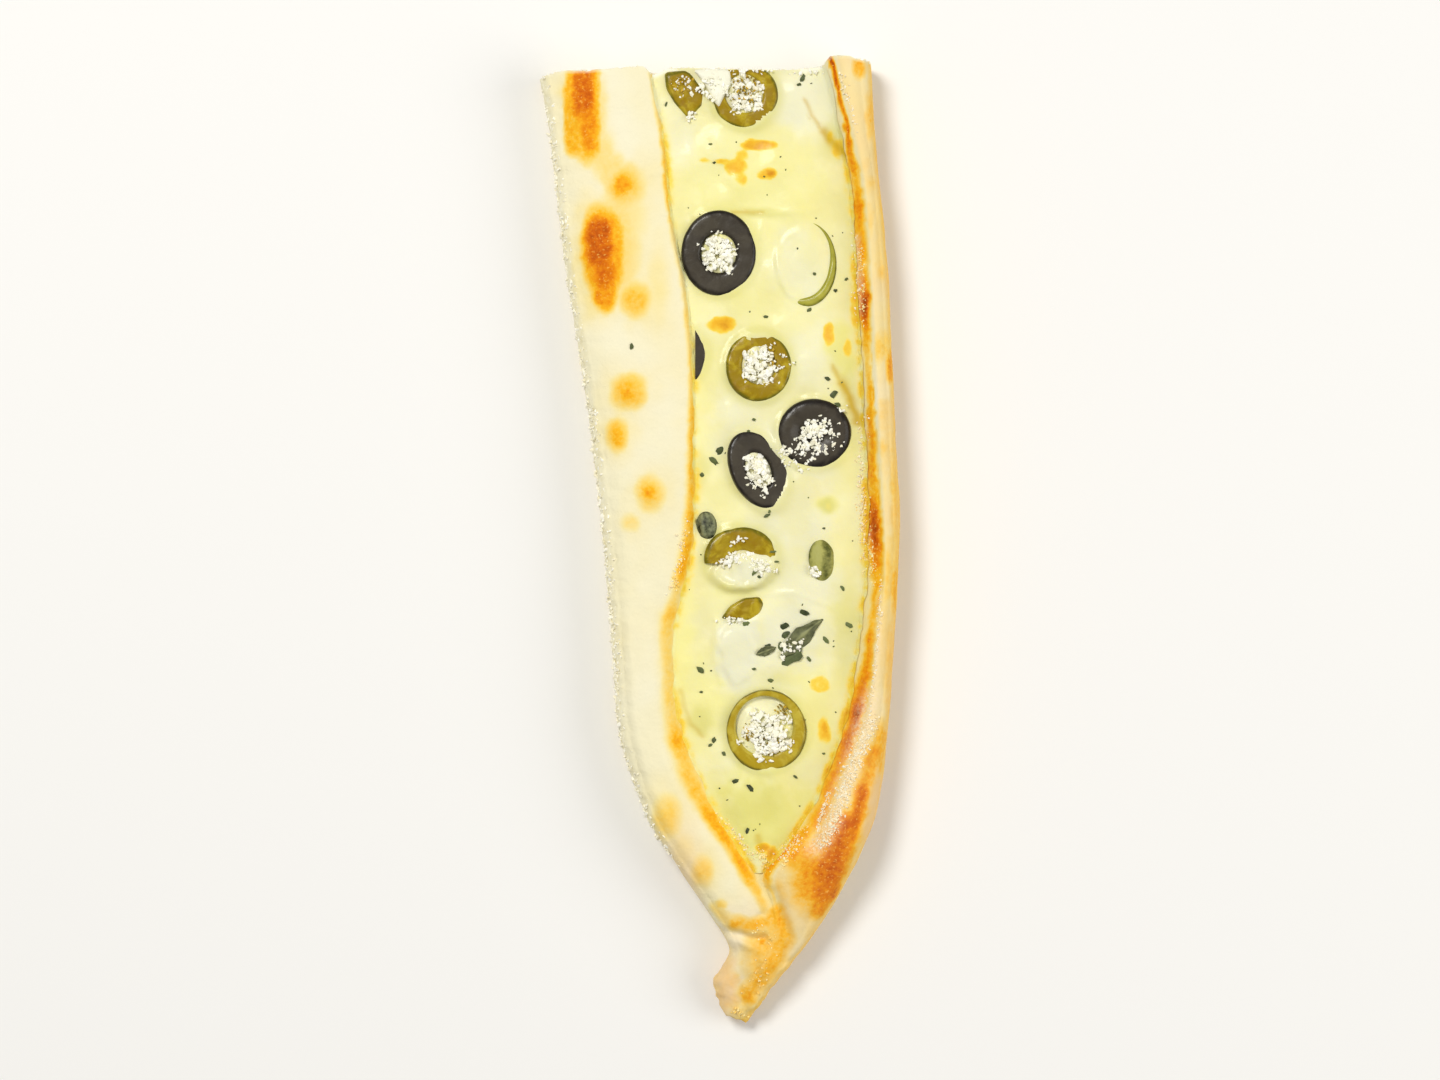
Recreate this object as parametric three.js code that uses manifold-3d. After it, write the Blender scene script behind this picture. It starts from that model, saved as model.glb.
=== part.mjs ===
// Half of a boat-shaped flatbread, baked with soft cheese, olive slices and herbs. Millimetres.
// It lies flat with z = 0 under the base: +X to the narrow rim, +Y to the cut end, +Z up.

import * as THREE from 'three';
import { mergeVertices } from 'three/addons/utils/BufferGeometryUtils.js';
import Module from 'manifold-3d';

const wasm = await Module();
wasm.setup();
const { clamp, lerp, smoothstep, degToRad } = THREE.MathUtils;

// Overall form, along Y
const CUT_Y = 113.2;
const TIP_Y = -115.5;
const POCKET_END_Y = -79.6;
const STATION_PITCH = 4.4;
const TIP_PITCH = 2.6;
const TIP_END_LENGTH = 3.9;
const TIP_END_PITCH = 1.3;
const KNIFE_OVERRUN = 6;

// Steps of the mesh round one cross-section
const SIDE_STEPS = 6;
const RIM_STEPS = 6;
const BEVEL_STEPS = 3;
const FLAP_STEPS = 11;
const FILLING_STEPS = 13;

// Dough
const LEFT_BULGE = 2.6;
const RIGHT_BULGE_SHARE = 0.38;
const RIGHT_BULGE_RANGE = [1.2, 4.2];
const BULGE_SHARE_OF_WIDTH = 0.3;
const FLAP_SHOULDER_DROP = 1.0;
const FLAP_SHOULDER_SHARE = 0.25;
const FLAP_LIP_START = 0.75;
const FLAP_LIP_DROP = 0.3;
const FLAP_CROWN = 0.4;
const RIM_INNER_DROP = 1.2;
const RIM_OUTER_DROP = 1.6;
const RIM_CREST = 0.4;
const FLAP_THICKNESS = 4.2;
const LIP_DEPTH = 1.3;
const UNDER_RIM = 2.0;
const UNDER_RIM_DEPTH = 2.4;
const CREASE_WIDTH = 0.5;
const CREASE_SHARE_OF_WIDTH = 0.1;
const LEFT_RAGGEDNESS = 0.3;
const LEFT_RAGGED_WAVES = [[1.7, 0], [0.61, 1]];
const LEFT_RAGGED_ENDS = [-80, -50];

// The pocket that holds the filling
const FLAP_OVER_VALLEY = 0.6;
const LEAST_POCKET_LEFT = 1.6;
const LEAST_POCKET_RIGHT = 1.4;
const LEAST_UNDER_FLAP = 1;
const POCKET_OVERRUN = 5;

// Filling
const GAP = 0.3;
const FILLING_CROWN = 0.7;
const RIPPLE = 0.22;
const RIPPLE_WAVES = [[0.55, 0.21, 0], [0.31, -0.47, 2]];

// Olive slices
const SLICE_THICKNESS = 4.0;
const SLICE_SEGMENTS = 18;
const SLICE_PROFILE_POINTS = 8;
const SLICE_SQUARENESS = 0.6;
const RING_HOLE_ROUNDING = 0.3;

// The outline and the lines of the folds: [y, x] from the cut end to the tip.
const LEFT_SIDE = [
  [116, -43.45], [92, -40.2], [66, -37.1], [34, -32], [0, -28], [-29, -25.6], [-46, -24.2], [-57, -21.1],
  [-68, -16.8], [-80, -9], [-91, -1.7], [-98, 2.2], [-102, 0.9], [-106, -1.6], [-110, -0.9], [-114, 1.5],
  [TIP_Y, 4.4],
];
const RIGHT_SIDE = [
  [116, 36.2], [92, 37.8], [66, 40.3], [30, 42], [5, 43.2], [-12, 42.6], [-30, 41.6], [-48, 40.1],
  [-58, 39], [-68, 36.9], [-78, 32.4], [-88, 27.2], [-97, 21], [-104, 15.4], [-110, 10.8], [-114, 8],
  [TIP_Y, 5.8],
];
const FLAP_EDGE = [
  [116, -17.9], [97, -14.6], [76, -12.3], [60, -9.2], [42, -7.5], [20, -7.6], [4, -8.4], [-10, -11],
  [-20, -14.2], [-32, -14.2], [-46, -13.2], [-57, -9.4], [-66, -4.5], [-74, 1.4], [-82, 6], [-88, 9.6],
  [-98, 10.4], [-106, 5.8], [-112, 4.1], [TIP_Y, 4.94],
];
const RIM_EDGE = [
  [116, 25.9], [100, 30.3], [84, 33.6], [60, 35.3], [30, 36.8], [5, 38.1], [-8, 38.4], [-22, 36.8],
  [-35, 35.5], [-46, 33.4], [-56, 28.9], [-66, 24.6], [-71, 20.8], [-76, 14.9], [-80.5, 12], [-88, 14.2],
  [-98, 14], [-106, 8.8], [-112, 6.4], [TIP_Y, 5.26],
];

// Widths of the toasted bevels that lead down from each lip to the filling: [y, width].
const FLAP_BEVEL = [
  [116, 1.2], [60, 1.3], [20, 1.7], [4, 2.6], [-12, 3.2], [-20, 3.8], [-32, 3.4], [-46, 4.4], [-57, 5],
  [-66, 4.4], [-74, 3.8], [-82, 3.4], [-90, 2], [-98, 1.4], [-106, 1], [TIP_Y, 0.05],
];
const RIM_BEVEL = [
  [116, 2.4], [60, 2.9], [10, 2.8], [-5, 3.6], [-24, 3.6], [-46, 4.4], [-58, 3.5], [-70, 4.4], [-76, 2.2],
  [-80.5, 1.8], [-90, 1.6], [-98, 1.4], [-106, 1], [TIP_Y, 0.05],
];

// Heights over the surface that the bread lies on: [y, z].
const FLAP_HEIGHT = [
  [116, 14.2], [60, 15], [0, 15.6], [-60, 16], [-75, 16], [-84, 15.4], [-92, 14.2], [-98, 12.9],
  [-106, 10.8], [-113, 8.4], [TIP_Y, 6.4],
];
const RIM_HEIGHT = [
  [116, 16.8], [60, 17.6], [0, 18.2], [-40, 18.3], [-62, 19], [-75, 18.4], [-84, 16.5], [-92, 14.5],
  [-98, 12.9], [-106, 10.6], [-113, 8.2], [TIP_Y, 6.2],
];
const VALLEY_HEIGHT = [
  [116, 11.7], [60, 12.2], [0, 12.5], [-40, 12.7], [-62, 13], [-75, 13.6], [-84, 13.7], [-92, 13.3],
  [-98, 12.2], [-106, 10.2], [-113, 7.9], [TIP_Y, 6],
];
const FLOOR_HEIGHT = [[116, 4.4], [0, 4.6], [-45, 5], [-62, 6.4], [-74, 9.4], [-82, 11.6]];
const TIP_LIFT = [[-98, 0], [-107, 0.3], [-113, 1], [TIP_Y, 2.2]];
const LEFT_WALL_WIDTH = [[116, 9.5], [0, 9], [-40, 9], [-60, 10], [-82, 15]];

// The slightly uneven line of the knife cut: [x, y].
const CUT_LINE = [
  [-44, 110.6], [-38, 112], [-27, 112.5], [-18.5, 113.2], [-16, 111.6], [-12, 113], [12, 112.6],
  [24, 113.4], [27, 115.5], [37, 114.3],
];
const CUT_WARP_START_Y = 98;

// Blisters of the crust: centre x, y, radii x, y, height.
const BLISTERS = [
  [-32.3, 101.4, 5.6, 12, 0.9], [-23.1, 84.2, 4.4, 4.8, 0.6], [-27.9, 67.8, 6.6, 13.6, 1.1],
  [-20.7, 57.4, 4, 4.4, 0.5], [-21.5, 35.4, 4.6, 5.2, 0.8], [-24.7, 24.6, 3.4, 4.2, 0.5],
  [-16.3, 11, 4, 4.2, 0.6], [-12.7, -65.8, 4.2, 6, 0.5], [-4.3, -79, 3.6, 4.4, 0.4],
  [33.7, 55, 2.6, 3, 1.1], [30.5, -73.8, 5.5, 12, 0.7], [10.6, -101.5, 5.5, 7, 0.8],
];

// Folds and cracks of the crust: the line they follow, depth and half width.
const CREASES = [
  { line: [[28.2, -56], [25.6, -62], [22.4, -72.6]], depth: 1.3, width: 1.3 },
  { line: [[1.5, -92.6], [6.5, -94.2], [11.5, -97.2]], depth: 1.5, width: 1.5 },
  { line: [[5.6, -97], [3.6, -104], [4.6, -112]], depth: 1.1, width: 1.6 },
  { line: [[12.8, -84], [14.4, -90], [17.4, -97]], depth: 1.2, width: 1.7 },
];

// Low mounds of the melted filling: centre x, y, radii x, y, height.
const MOUNDS = [
  [7.5, -24, 13, 14, 0.8], [14, 88, 16, 12, 0.5], [20, 66, 11, 15, 0.6], [-1, 94, 10, 9, 0.4],
  [18, 6, 10, 12, 0.5], [6, 28, 12, 9, 0.3], [22, -36, 9, 12, 0.4], [-2, -36, 7, 14, 0.4],
  [8, -60, 10, 9, 0.5], [26, 44, 7, 12, 0.5], [22, 104, 9, 9, 0.5],
];

// Ring slices: colour, centre, radii, turn of the first radius, tilt about it, share of the hole.
const RING_SLICES = [
  ['green_olive_ring_cut_end', 'green', [6.1, 106.4], [7.9, 7.9], 0, 0, 0.5],
  ['black_olive_ring', 'black', [-0.3, 68.6], [9, 10.2], 0, 2, 0.46],
  ['green_olive_ring_middle', 'green', [9.2, 41.5], [7.9, 8.5], 0, -3, 0.5],
  ['black_olive_slice_right', 'black', [22.5, 25.4], [8.7, 8.3], 0, 6, 0.42],
  ['black_olive_slice_left', 'black', [9.1, 16.7], [10, 6.6], -63, -7, 0.42],
  ['green_olive_half', 'green', [5.1, -4.4], [9, 7.6], 0, 0, 0.45],
  ['green_olive_ring_low', 'green', [11.1, -45.6], [9.3, 9.8], 0, 2, 0.6],
].map(([name, hue, at, radii, turn, tilt, hole]) => ({ name, hue, at, radii, turn, tilt, hole }));
const RING_PROUD = 1.1;
const CUT_CLEARANCE = 0.9;
const CHEESE_EDGE_Y = -5.6;
const FAR = 200;
const SAME_POINT = 1e-4;
const HALF_MOON = {
  name: 'black_olive_half_moon',
  at: [-11.8, 44.3],
  radii: [8.8, 8.8],
  turn: 0,
  tilt: 0,
  hole: 0.45,
  proud: 0.7,
};
const SLIVER = {
  name: 'green_olive_sliver',
  at: [20.9, 65.9],
  radii: [6.8, 10],
  from: -88,
  to: 62,
  proud: 0.5,
};
const SLIVER_STEPS = 11;
const SLIVER_WIDTHS = [1.5, 0.9];
const SLIVER_DEPTH = 2.4;
const SLIVER_POINT = 0.07;
const SLIVER_FULLNESS = 0.6;
const SLIVER_GROWTH = 6;
const SLIVER_TOP = [[0.5, 0.4], [0.1, 0], [-0.5, 0.6]];
const WEDGE = {
  name: 'green_olive_wedge',
  corners: [[-13.1, 112], [-8.9, 112.2], [-3.4, 106.2], [-6.2, 101.6], [-10.6, 104]],
  proud: 0.7,
};
const CHIP = {
  name: 'green_olive_chip',
  corners: [[0.9, -18], [4.4, -15], [7.6, -13.7], [10.2, -14.2], [9.9, -16.8], [7, -18.7], [3.6, -18.9]],
  proud: 0.7,
};
const CAPER = { name: 'caper', at: [-3.1, 3.5], radii: [2.2, 3.2, 2.0], turn: 12, proud: 1.4 };
const BUD = { name: 'herb_bud', at: [24.3, -4.8], radii: [2.9, 5.1, 1.9], turn: 4, proud: 1.1 };
const LEAVES = [
  { name: 'herb_leaf_long', from: [24.2, -19.3], to: [14.6, -28.6], width: 3.4 },
  { name: 'herb_leaf_short', from: [13.4, -25.6], to: [8.6, -27.4], width: 2.2 },
];
const LEAF_THICKNESS = 1.1;
const LEAF_LEAST_THICKNESS = 0.4;
const LEAF_WAVE = 0.25;
const LEAF_WAVE_TURNS = 9;
const LEAF_STEPS = 9;
const LEAF_POINT = 0.06;
const LEAF_FULLNESS = 0.8;
const LEAF_SECTION = [[-1, 0], [-0.4, -1], [0.4, -1], [1, 0], [0.4, 1], [-0.4, 1]];
const PIECE_THICKNESS = 3;
const PIECE_BEVEL = 0.5;
const BUD_SEGMENTS = [11, 7];

// Herb flecks on the filling: x, y, turn in degrees.
const FLECKS = [
  [19.7, 110.2, 60], [-2.3, 94.6, 20], [-1.4, 90.2, -30], [10.9, 53.4, 0], [25.7, 38.6, 45],
  [0.1, 21.4, 10], [-1.5, 19.4, -50], [-4.3, 15.4, 80], [10.9, 5.8, 30], [20.1, -17.4, 0],
  [15.3, -20.6, 65], [25.3, -23.8, -20], [30.5, -20.6, 70], [28.9, -11.4, 15], [-4.7, -31.4, -40],
  [8.1, -30.6, 25], [12.1, -33.4, 0], [-1.1, -47.8, 50], [0.9, -51, -15], [3.7, -57.4, 35],
  [7.3, -59.4, -35], [17.7, -56.6, 60], [6.5, -69.4, 20],
];
const FLECK_SIZE = [1.1, 0.65, 0.5];
const FLECK_PROUD = 0.1;

// Craggy heaps of cheese crumbs in the holes of the slices.
const HEAP_RISE = 1.9;
const HEAP_SINK = 0.2;
const HEAP_CRAGS = [0.72, 1.0];
const HEAP_SEED = 20;

const MATERIALS = {
  crust: new THREE.MeshStandardMaterial({ color: 0xf0dcae, roughness: 0.8, metalness: 0 }),
  filling: new THREE.MeshStandardMaterial({ color: 0xeeebb0, roughness: 0.5, metalness: 0 }),
  black: new THREE.MeshStandardMaterial({ color: 0x3d3836, roughness: 0.45, metalness: 0 }),
  green: new THREE.MeshStandardMaterial({ color: 0xa88f18, roughness: 0.4, metalness: 0 }),
  herb: new THREE.MeshStandardMaterial({ color: 0x6a7048, roughness: 0.7, metalness: 0 }),
};

// Repeatable random numbers from 0 to 1.
function seeded(seed) {
  let state = seed;
  return () => {
    state = (state * 1664525 + 1013904223) % 4294967296;
    return state / 4294967296;
  };
}

// A smooth curve through [position, value] stations; slopes come from the neighbouring stations.
function through(stations) {
  const sorted = [...stations].sort((a, b) => a[0] - b[0]);
  const at = sorted.map((station) => station[0]);
  const value = sorted.map((station) => station[1]);
  const last = at.length - 1;
  const slope = at.map((_, i) => {
    const before = Math.max(i - 1, 0);
    const after = Math.min(i + 1, last);
    return (value[after] - value[before]) / (at[after] - at[before]);
  });
  return (position) => {
    const p = clamp(position, at[0], at[last]);
    const i = Math.max(at.findIndex((a) => a >= p), 1);
    const span = at[i] - at[i - 1];
    const t = (p - at[i - 1]) / span;
    const rise = t * t * (3 - 2 * t);
    const start = span * slope[i - 1] * t * (1 - t) * (1 - t);
    const end = span * slope[i] * t * t * (1 - t);
    return value[i - 1] + (value[i] - value[i - 1]) * rise + start - end;
  };
}

const leftSide = through(LEFT_SIDE);
const rightSide = through(RIGHT_SIDE);
const flapEdge = through(FLAP_EDGE);
const rimEdge = through(RIM_EDGE);
const flapBevel = through(FLAP_BEVEL);
const rimBevel = through(RIM_BEVEL);
const flapHeight = through(FLAP_HEIGHT);
const rimHeight = through(RIM_HEIGHT);
const valleyHeight = through(VALLEY_HEIGHT);
const floorHeight = through(FLOOR_HEIGHT);
const tipLift = through(TIP_LIFT);
const leftWallWidth = through(LEFT_WALL_WIDTH);
const cutLine = through(CUT_LINE);

// Everything that a cross-section needs to know at one place along the bread.
function sectionAt(s) {
  const waves = LEFT_RAGGED_WAVES.map(([a, b]) => Math.sin(s * a + b));
  const ragged = LEFT_RAGGEDNESS * waves[0] * waves[1] * smoothstep(s, ...LEFT_RAGGED_ENDS);
  const left = leftSide(s) + ragged;
  const right = rightSide(s);
  const lip = flapEdge(s);
  const rim = rimEdge(s);
  const widest = BULGE_SHARE_OF_WIDTH * (right - left);
  const middle = (lip + flapBevel(s) + rim - rimBevel(s)) / 2;
  const halfCrease = Math.min(CREASE_WIDTH, CREASE_SHARE_OF_WIDTH * (right - left)) / 2;
  return {
    left,
    right,
    lip,
    rim,
    fillLeft: Math.min(lip + flapBevel(s), middle - halfCrease),
    fillRight: Math.max(rim - rimBevel(s), middle + halfCrease),
    leftBulge: Math.min(LEFT_BULGE, widest),
    rightBulge: Math.min(clamp(RIGHT_BULGE_SHARE * (right - rim), ...RIGHT_BULGE_RANGE), widest),
    flapTop: flapHeight(s),
    rimTop: rimHeight(s),
    valley: valleyHeight(s),
    floor: floorHeight(s),
    lift: tipLift(s),
    wallLeft: left + leftWallWidth(s),
  };
}

// The cut end follows the knife's line, and the sections behind it come back to straight.
function onBread(x, s, z) {
  const warp = smoothstep(s, CUT_WARP_START_Y, CUT_Y);
  return new THREE.Vector3(x, s + warp * (cutLine(x) - CUT_Y), z);
}

// A smooth low dome inside the ellipse of the two radii.
function dome(x, y, [centreX, centreY, radiusX, radiusY, height]) {
  const away = ((x - centreX) / radiusX) ** 2 + ((y - centreY) / radiusY) ** 2;
  return away < 1 ? height * (1 - away) ** 2 : 0;
}

function distanceToLine(x, y, line) {
  const point = new THREE.Vector3(x, y, 0);
  const nearest = new THREE.Vector3();
  let distance = Infinity;
  for (let i = 1; i < line.length; i += 1) {
    const piece = new THREE.Line3(new THREE.Vector3(...line[i - 1], 0), new THREE.Vector3(...line[i], 0));
    piece.closestPointToPoint(point, true, nearest);
    distance = Math.min(distance, nearest.distanceTo(point));
  }
  return distance;
}

function crustRelief(x, y) {
  const raised = BLISTERS.reduce((sum, blister) => sum + dome(x, y, blister), 0);
  return CREASES.reduce((sum, crease) => {
    const away = distanceToLine(x, y, crease.line) / crease.width;
    return sum - crease.depth * Math.exp(-away * away);
  }, raised);
}

// Height of the dough's upper side over the flap, the rim, their bevels and the valley between them.
function crustTop(x, s, e) {
  const lipZ = e.flapTop - FLAP_LIP_DROP - FLAP_CROWN;
  const rimZ = e.rimTop - RIM_INNER_DROP;
  if (x <= e.lip) {
    const start = e.left + e.leftBulge;
    const t = clamp((x - start) / (e.lip - start), 0, 1);
    const shoulder = FLAP_SHOULDER_DROP * (1 - Math.min(t / FLAP_SHOULDER_SHARE, 1)) ** 2;
    const crown = FLAP_CROWN * (2 * t - 1) ** 2;
    const lip = FLAP_LIP_DROP * smoothstep(t, FLAP_LIP_START, 1);
    return e.flapTop - crown - shoulder - lip + crustRelief(x, s);
  }
  if (x < e.fillLeft) {
    const u = (x - e.lip) / (e.fillLeft - e.lip);
    return e.valley + (lipZ - e.valley) * Math.sqrt(1 - u * u) + crustRelief(x, s) * (1 - u);
  }
  if (x <= e.fillRight) {
    return e.valley;
  }
  if (x < e.rim) {
    const u = (e.rim - x) / (e.rim - e.fillRight);
    return e.valley + (rimZ - e.valley) * Math.sqrt(1 - u * u) + crustRelief(x, s) * (1 - u);
  }
  const t = clamp((x - e.rim) / (e.right - e.rightBulge - e.rim), 0, 1);
  const inner = RIM_INNER_DROP * (1 - Math.min(t / RIM_CREST, 1)) ** 2;
  const outer = RIM_OUTER_DROP * Math.max((t - RIM_CREST) / (1 - RIM_CREST), 0) ** 2;
  return e.rimTop - inner - outer + crustRelief(x, s);
}

// One closed ring of the dough, counter-clockwise as seen from the tip.
function crustRing(s) {
  const e = sectionAt(s);
  const ring = [];
  const startLeft = e.left + e.leftBulge;
  const startRight = e.right - e.rightBulge;
  const run = (steps, from, to, place) => {
    for (let i = 0; i < steps; i += 1) {
      place(lerp(from, to, i / steps));
    }
  };
  const side = (edge, bulge, shoulder) => (angle) => {
    const z = lerp(e.lift, shoulder, (1 + Math.sin(angle)) / 2);
    ring.push(onBread(edge + bulge * (1 - Math.cos(angle)), s, z));
  };
  const top = (x) => ring.push(onBread(x, s, crustTop(x, s, e)));
  ring.push(onBread(startLeft, s, e.lift));
  run(SIDE_STEPS, -Math.PI / 2, Math.PI / 2, side(e.right, -e.rightBulge, crustTop(startRight, s, e)));
  run(RIM_STEPS, startRight, e.rim, top);
  run(BEVEL_STEPS, e.rim, e.fillRight, top);
  ring.push(onBread(e.fillRight, s, e.valley));
  run(BEVEL_STEPS, e.fillLeft, e.lip, top);
  run(FLAP_STEPS, e.lip, startLeft, top);
  run(SIDE_STEPS, Math.PI / 2, -Math.PI / 2, side(e.left, e.leftBulge, crustTop(startLeft, s, e)));
  return ring;
}

// Heights of the pocket between the base, the flap and the rim; inset draws the filling in from it.
function pocket(e, inset) {
  const underFlap = Math.min(e.flapTop - FLAP_THICKNESS, e.valley - FLAP_OVER_VALLEY);
  return {
    floor: e.floor + inset,
    left: Math.min(e.wallLeft, e.fillLeft - LEAST_UNDER_FLAP) + inset,
    leftCeiling: Math.max(underFlap, e.floor + LEAST_POCKET_LEFT) - inset,
    lipLeft: e.fillLeft + inset,
    underLeft: e.valley - LIP_DEPTH - inset,
    right: e.fillRight + UNDER_RIM - inset,
    rightCeiling: Math.max(e.valley - UNDER_RIM_DEPTH, e.floor + LEAST_POCKET_RIGHT) - inset,
    lipRight: e.fillRight - inset,
    underRight: e.valley - LIP_DEPTH - inset,
  };
}

function pocketRing(s) {
  const e = sectionAt(s);
  const p = pocket(e, 0);
  const above = e.valley + POCKET_OVERRUN;
  const corners = [
    [p.left, p.floor], [p.right, p.floor], [p.right, p.rightCeiling], [p.lipRight, p.underRight],
    [p.lipRight, above], [p.lipLeft, above], [p.lipLeft, p.underLeft], [p.left, p.leftCeiling],
  ];
  return corners.map(([x, z]) => onBread(x, s, z));
}

function fillingTop(x, s, e) {
  const across = clamp((x - e.fillLeft) / (e.fillRight - e.fillLeft), 0, 1);
  const middle = 4 * across * (1 - across);
  const mounds = MOUNDS.reduce((sum, mound) => sum + dome(x, s, mound), 0);
  const ripple = RIPPLE_WAVES.reduce((sum, [a, b, c]) => sum + RIPPLE * Math.sin(x * a + s * b + c), 0);
  return e.valley + FILLING_CROWN * middle + (mounds + ripple) * Math.sqrt(middle);
}

function fillingRing(s) {
  const e = sectionAt(s);
  const p = pocket(e, GAP);
  const corners = [
    [p.left, p.floor], [p.right, p.floor], [p.right, p.rightCeiling], [p.lipRight, p.underRight],
  ];
  for (let i = 0; i <= FILLING_STEPS; i += 1) {
    const x = lerp(p.lipRight, p.lipLeft, i / FILLING_STEPS);
    corners.push([x, fillingTop(x, s, e)]);
  }
  corners.push([p.lipLeft, p.underLeft], [p.left, p.leftCeiling]);
  return corners.map(([x, z]) => onBread(x, s, z));
}

// The side faces of a skin over rings with the same number of points.
function sides(rings) {
  const count = rings[0].length;
  const index = [];
  for (let row = 0; row < rings.length - 1; row += 1) {
    for (let i = 0; i < count; i += 1) {
      const a = row * count + i;
      const b = row * count + ((i + 1) % count);
      index.push(a, b, a + count, b, b + count, a + count);
    }
  }
  return index;
}

function indexed(rings, index) {
  const geometry = new THREE.BufferGeometry();
  const points = rings.flat().flatMap((point) => point.toArray());
  geometry.setAttribute('position', new THREE.Float32BufferAttribute(points, 3));
  geometry.setIndex(index);
  return geometry;
}

// A closed skin over cross-sections that stand across Y, counter-clockwise as seen from the tip.
function loft(rings) {
  const count = rings[0].length;
  const index = sides(rings);
  [0, rings.length - 1].forEach((row) => {
    const flat = rings[row].map((point) => new THREE.Vector2(point.x, point.z));
    const first = row * count;
    THREE.ShapeUtils.triangulateShape(flat, []).forEach(([a, b, c]) => {
      const turnsLeft = THREE.ShapeUtils.area([flat[a], flat[b], flat[c]]) > 0;
      const outward = turnsLeft === (row > 0) ? [a, b, c] : [a, c, b];
      index.push(...outward.map((i) => first + i));
    });
  });
  return indexed(rings, index);
}

// A closed skin over convex rings along any line, with a fan over each end.
function loftAlong(rings) {
  const count = rings[0].length;
  const last = (rings.length - 1) * count;
  const index = sides(rings);
  for (let i = 1; i < count - 1; i += 1) {
    index.push(0, i + 1, i, last, last + i, last + i + 1);
  }
  const solid = toSolid(indexed(rings, index));
  return solid.volume() < 0 ? toSolid(indexed(rings, index.reverse())) : solid;
}

function toSolid(geometry) {
  const bare = geometry.clone();
  bare.deleteAttribute('normal');
  bare.deleteAttribute('uv');
  const merged = mergeVertices(bare, SAME_POINT);
  return new wasm.Manifold(new wasm.Mesh({
    numProp: 3,
    vertProperties: new Float32Array(merged.attributes.position.array),
    triVerts: new Uint32Array(merged.index.array),
  }));
}

function toMesh(name, solid, material) {
  const { vertProperties, triVerts } = solid.getMesh();
  const geometry = new THREE.BufferGeometry();
  geometry.setAttribute('position', new THREE.Float32BufferAttribute(vertProperties, 3));
  geometry.setIndex([...triVerts]);
  geometry.computeVertexNormals();
  const mesh = new THREE.Mesh(geometry, material);
  mesh.name = name;
  return mesh;
}

function boxSolid(low, high) {
  const size = high.map((value, i) => value - low[i]);
  const geometry = new THREE.BoxGeometry(...size);
  geometry.translate(...low.map((value, i) => value + size[i] / 2));
  return toSolid(geometry);
}

function spaced(from, to, pitch) {
  const steps = Math.round(Math.abs(to - from) / pitch);
  return Array.from({ length: steps + 1 }, (_, i) => lerp(from, to, i / steps));
}

// Height of the filling at a place on its upper side.
function fillingAt(x, y) {
  return fillingTop(x, y, sectionAt(y));
}

// A ring slice of an olive: a rounded oblong turned about the olive's axis and stretched to two radii.
function ringSlice({ at, radii, turn, tilt, hole }, proud, grow) {
  const mean = (radii[0] + radii[1]) / 2;
  const half = (mean * (1 - hole)) / 2;
  const centre = mean - half;
  const soften = (value) => Math.sign(value) * Math.abs(value) ** SLICE_SQUARENESS;
  const profile = [];
  for (let i = 0; i <= SLICE_PROFILE_POINTS; i += 1) {
    const angle = (2 * Math.PI * (i % SLICE_PROFILE_POINTS)) / SLICE_PROFILE_POINTS;
    const r = centre + (half + grow) * soften(Math.cos(angle));
    profile.push(new THREE.Vector2(r, (SLICE_THICKNESS / 2 + grow) * soften(Math.sin(angle))));
  }
  const geometry = new THREE.LatheGeometry(profile, SLICE_SEGMENTS);
  geometry.rotateX(Math.PI / 2);
  geometry.scale(radii[0] / mean, radii[1] / mean, 1);
  geometry.rotateX(degToRad(tilt));
  geometry.rotateZ(degToRad(turn));
  geometry.translate(at[0], at[1], fillingAt(...at) + proud - SLICE_THICKNESS / 2);
  return toSolid(geometry);
}

// A flat piece with rounded edges, cut to an outline and set into the filling.
function outlinedPiece({ corners, proud }, grow) {
  const centre = corners.reduce((sum, [x, y]) => [sum[0] + x, sum[1] + y], [0, 0]);
  const [middleX, middleY] = centre.map((value) => value / corners.length);
  const shape = new THREE.Shape(corners.map(([x, y]) => new THREE.Vector2(x - middleX, y - middleY)));
  const geometry = new THREE.ExtrudeGeometry(shape, {
    depth: PIECE_THICKNESS - 2 * PIECE_BEVEL + 2 * grow,
    bevelThickness: PIECE_BEVEL,
    bevelSize: PIECE_BEVEL,
    bevelOffset: grow - PIECE_BEVEL,
    bevelSegments: 1,
  });
  const bottom = fillingAt(middleX, middleY) + proud - PIECE_THICKNESS - grow;
  geometry.translate(middleX, middleY, bottom + PIECE_BEVEL);
  return toSolid(geometry);
}

// A rounded bud or berry, half sunk in the filling.
function bud({ at, radii, turn, proud }, grow) {
  const geometry = new THREE.SphereGeometry(1, ...BUD_SEGMENTS);
  geometry.rotateX(Math.PI / 2);
  geometry.scale(radii[0] + grow, radii[1] + grow, radii[2] + grow);
  geometry.rotateZ(degToRad(turn));
  geometry.translate(at[0], at[1], fillingAt(...at) + proud - radii[2]);
  return toSolid(geometry);
}

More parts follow.
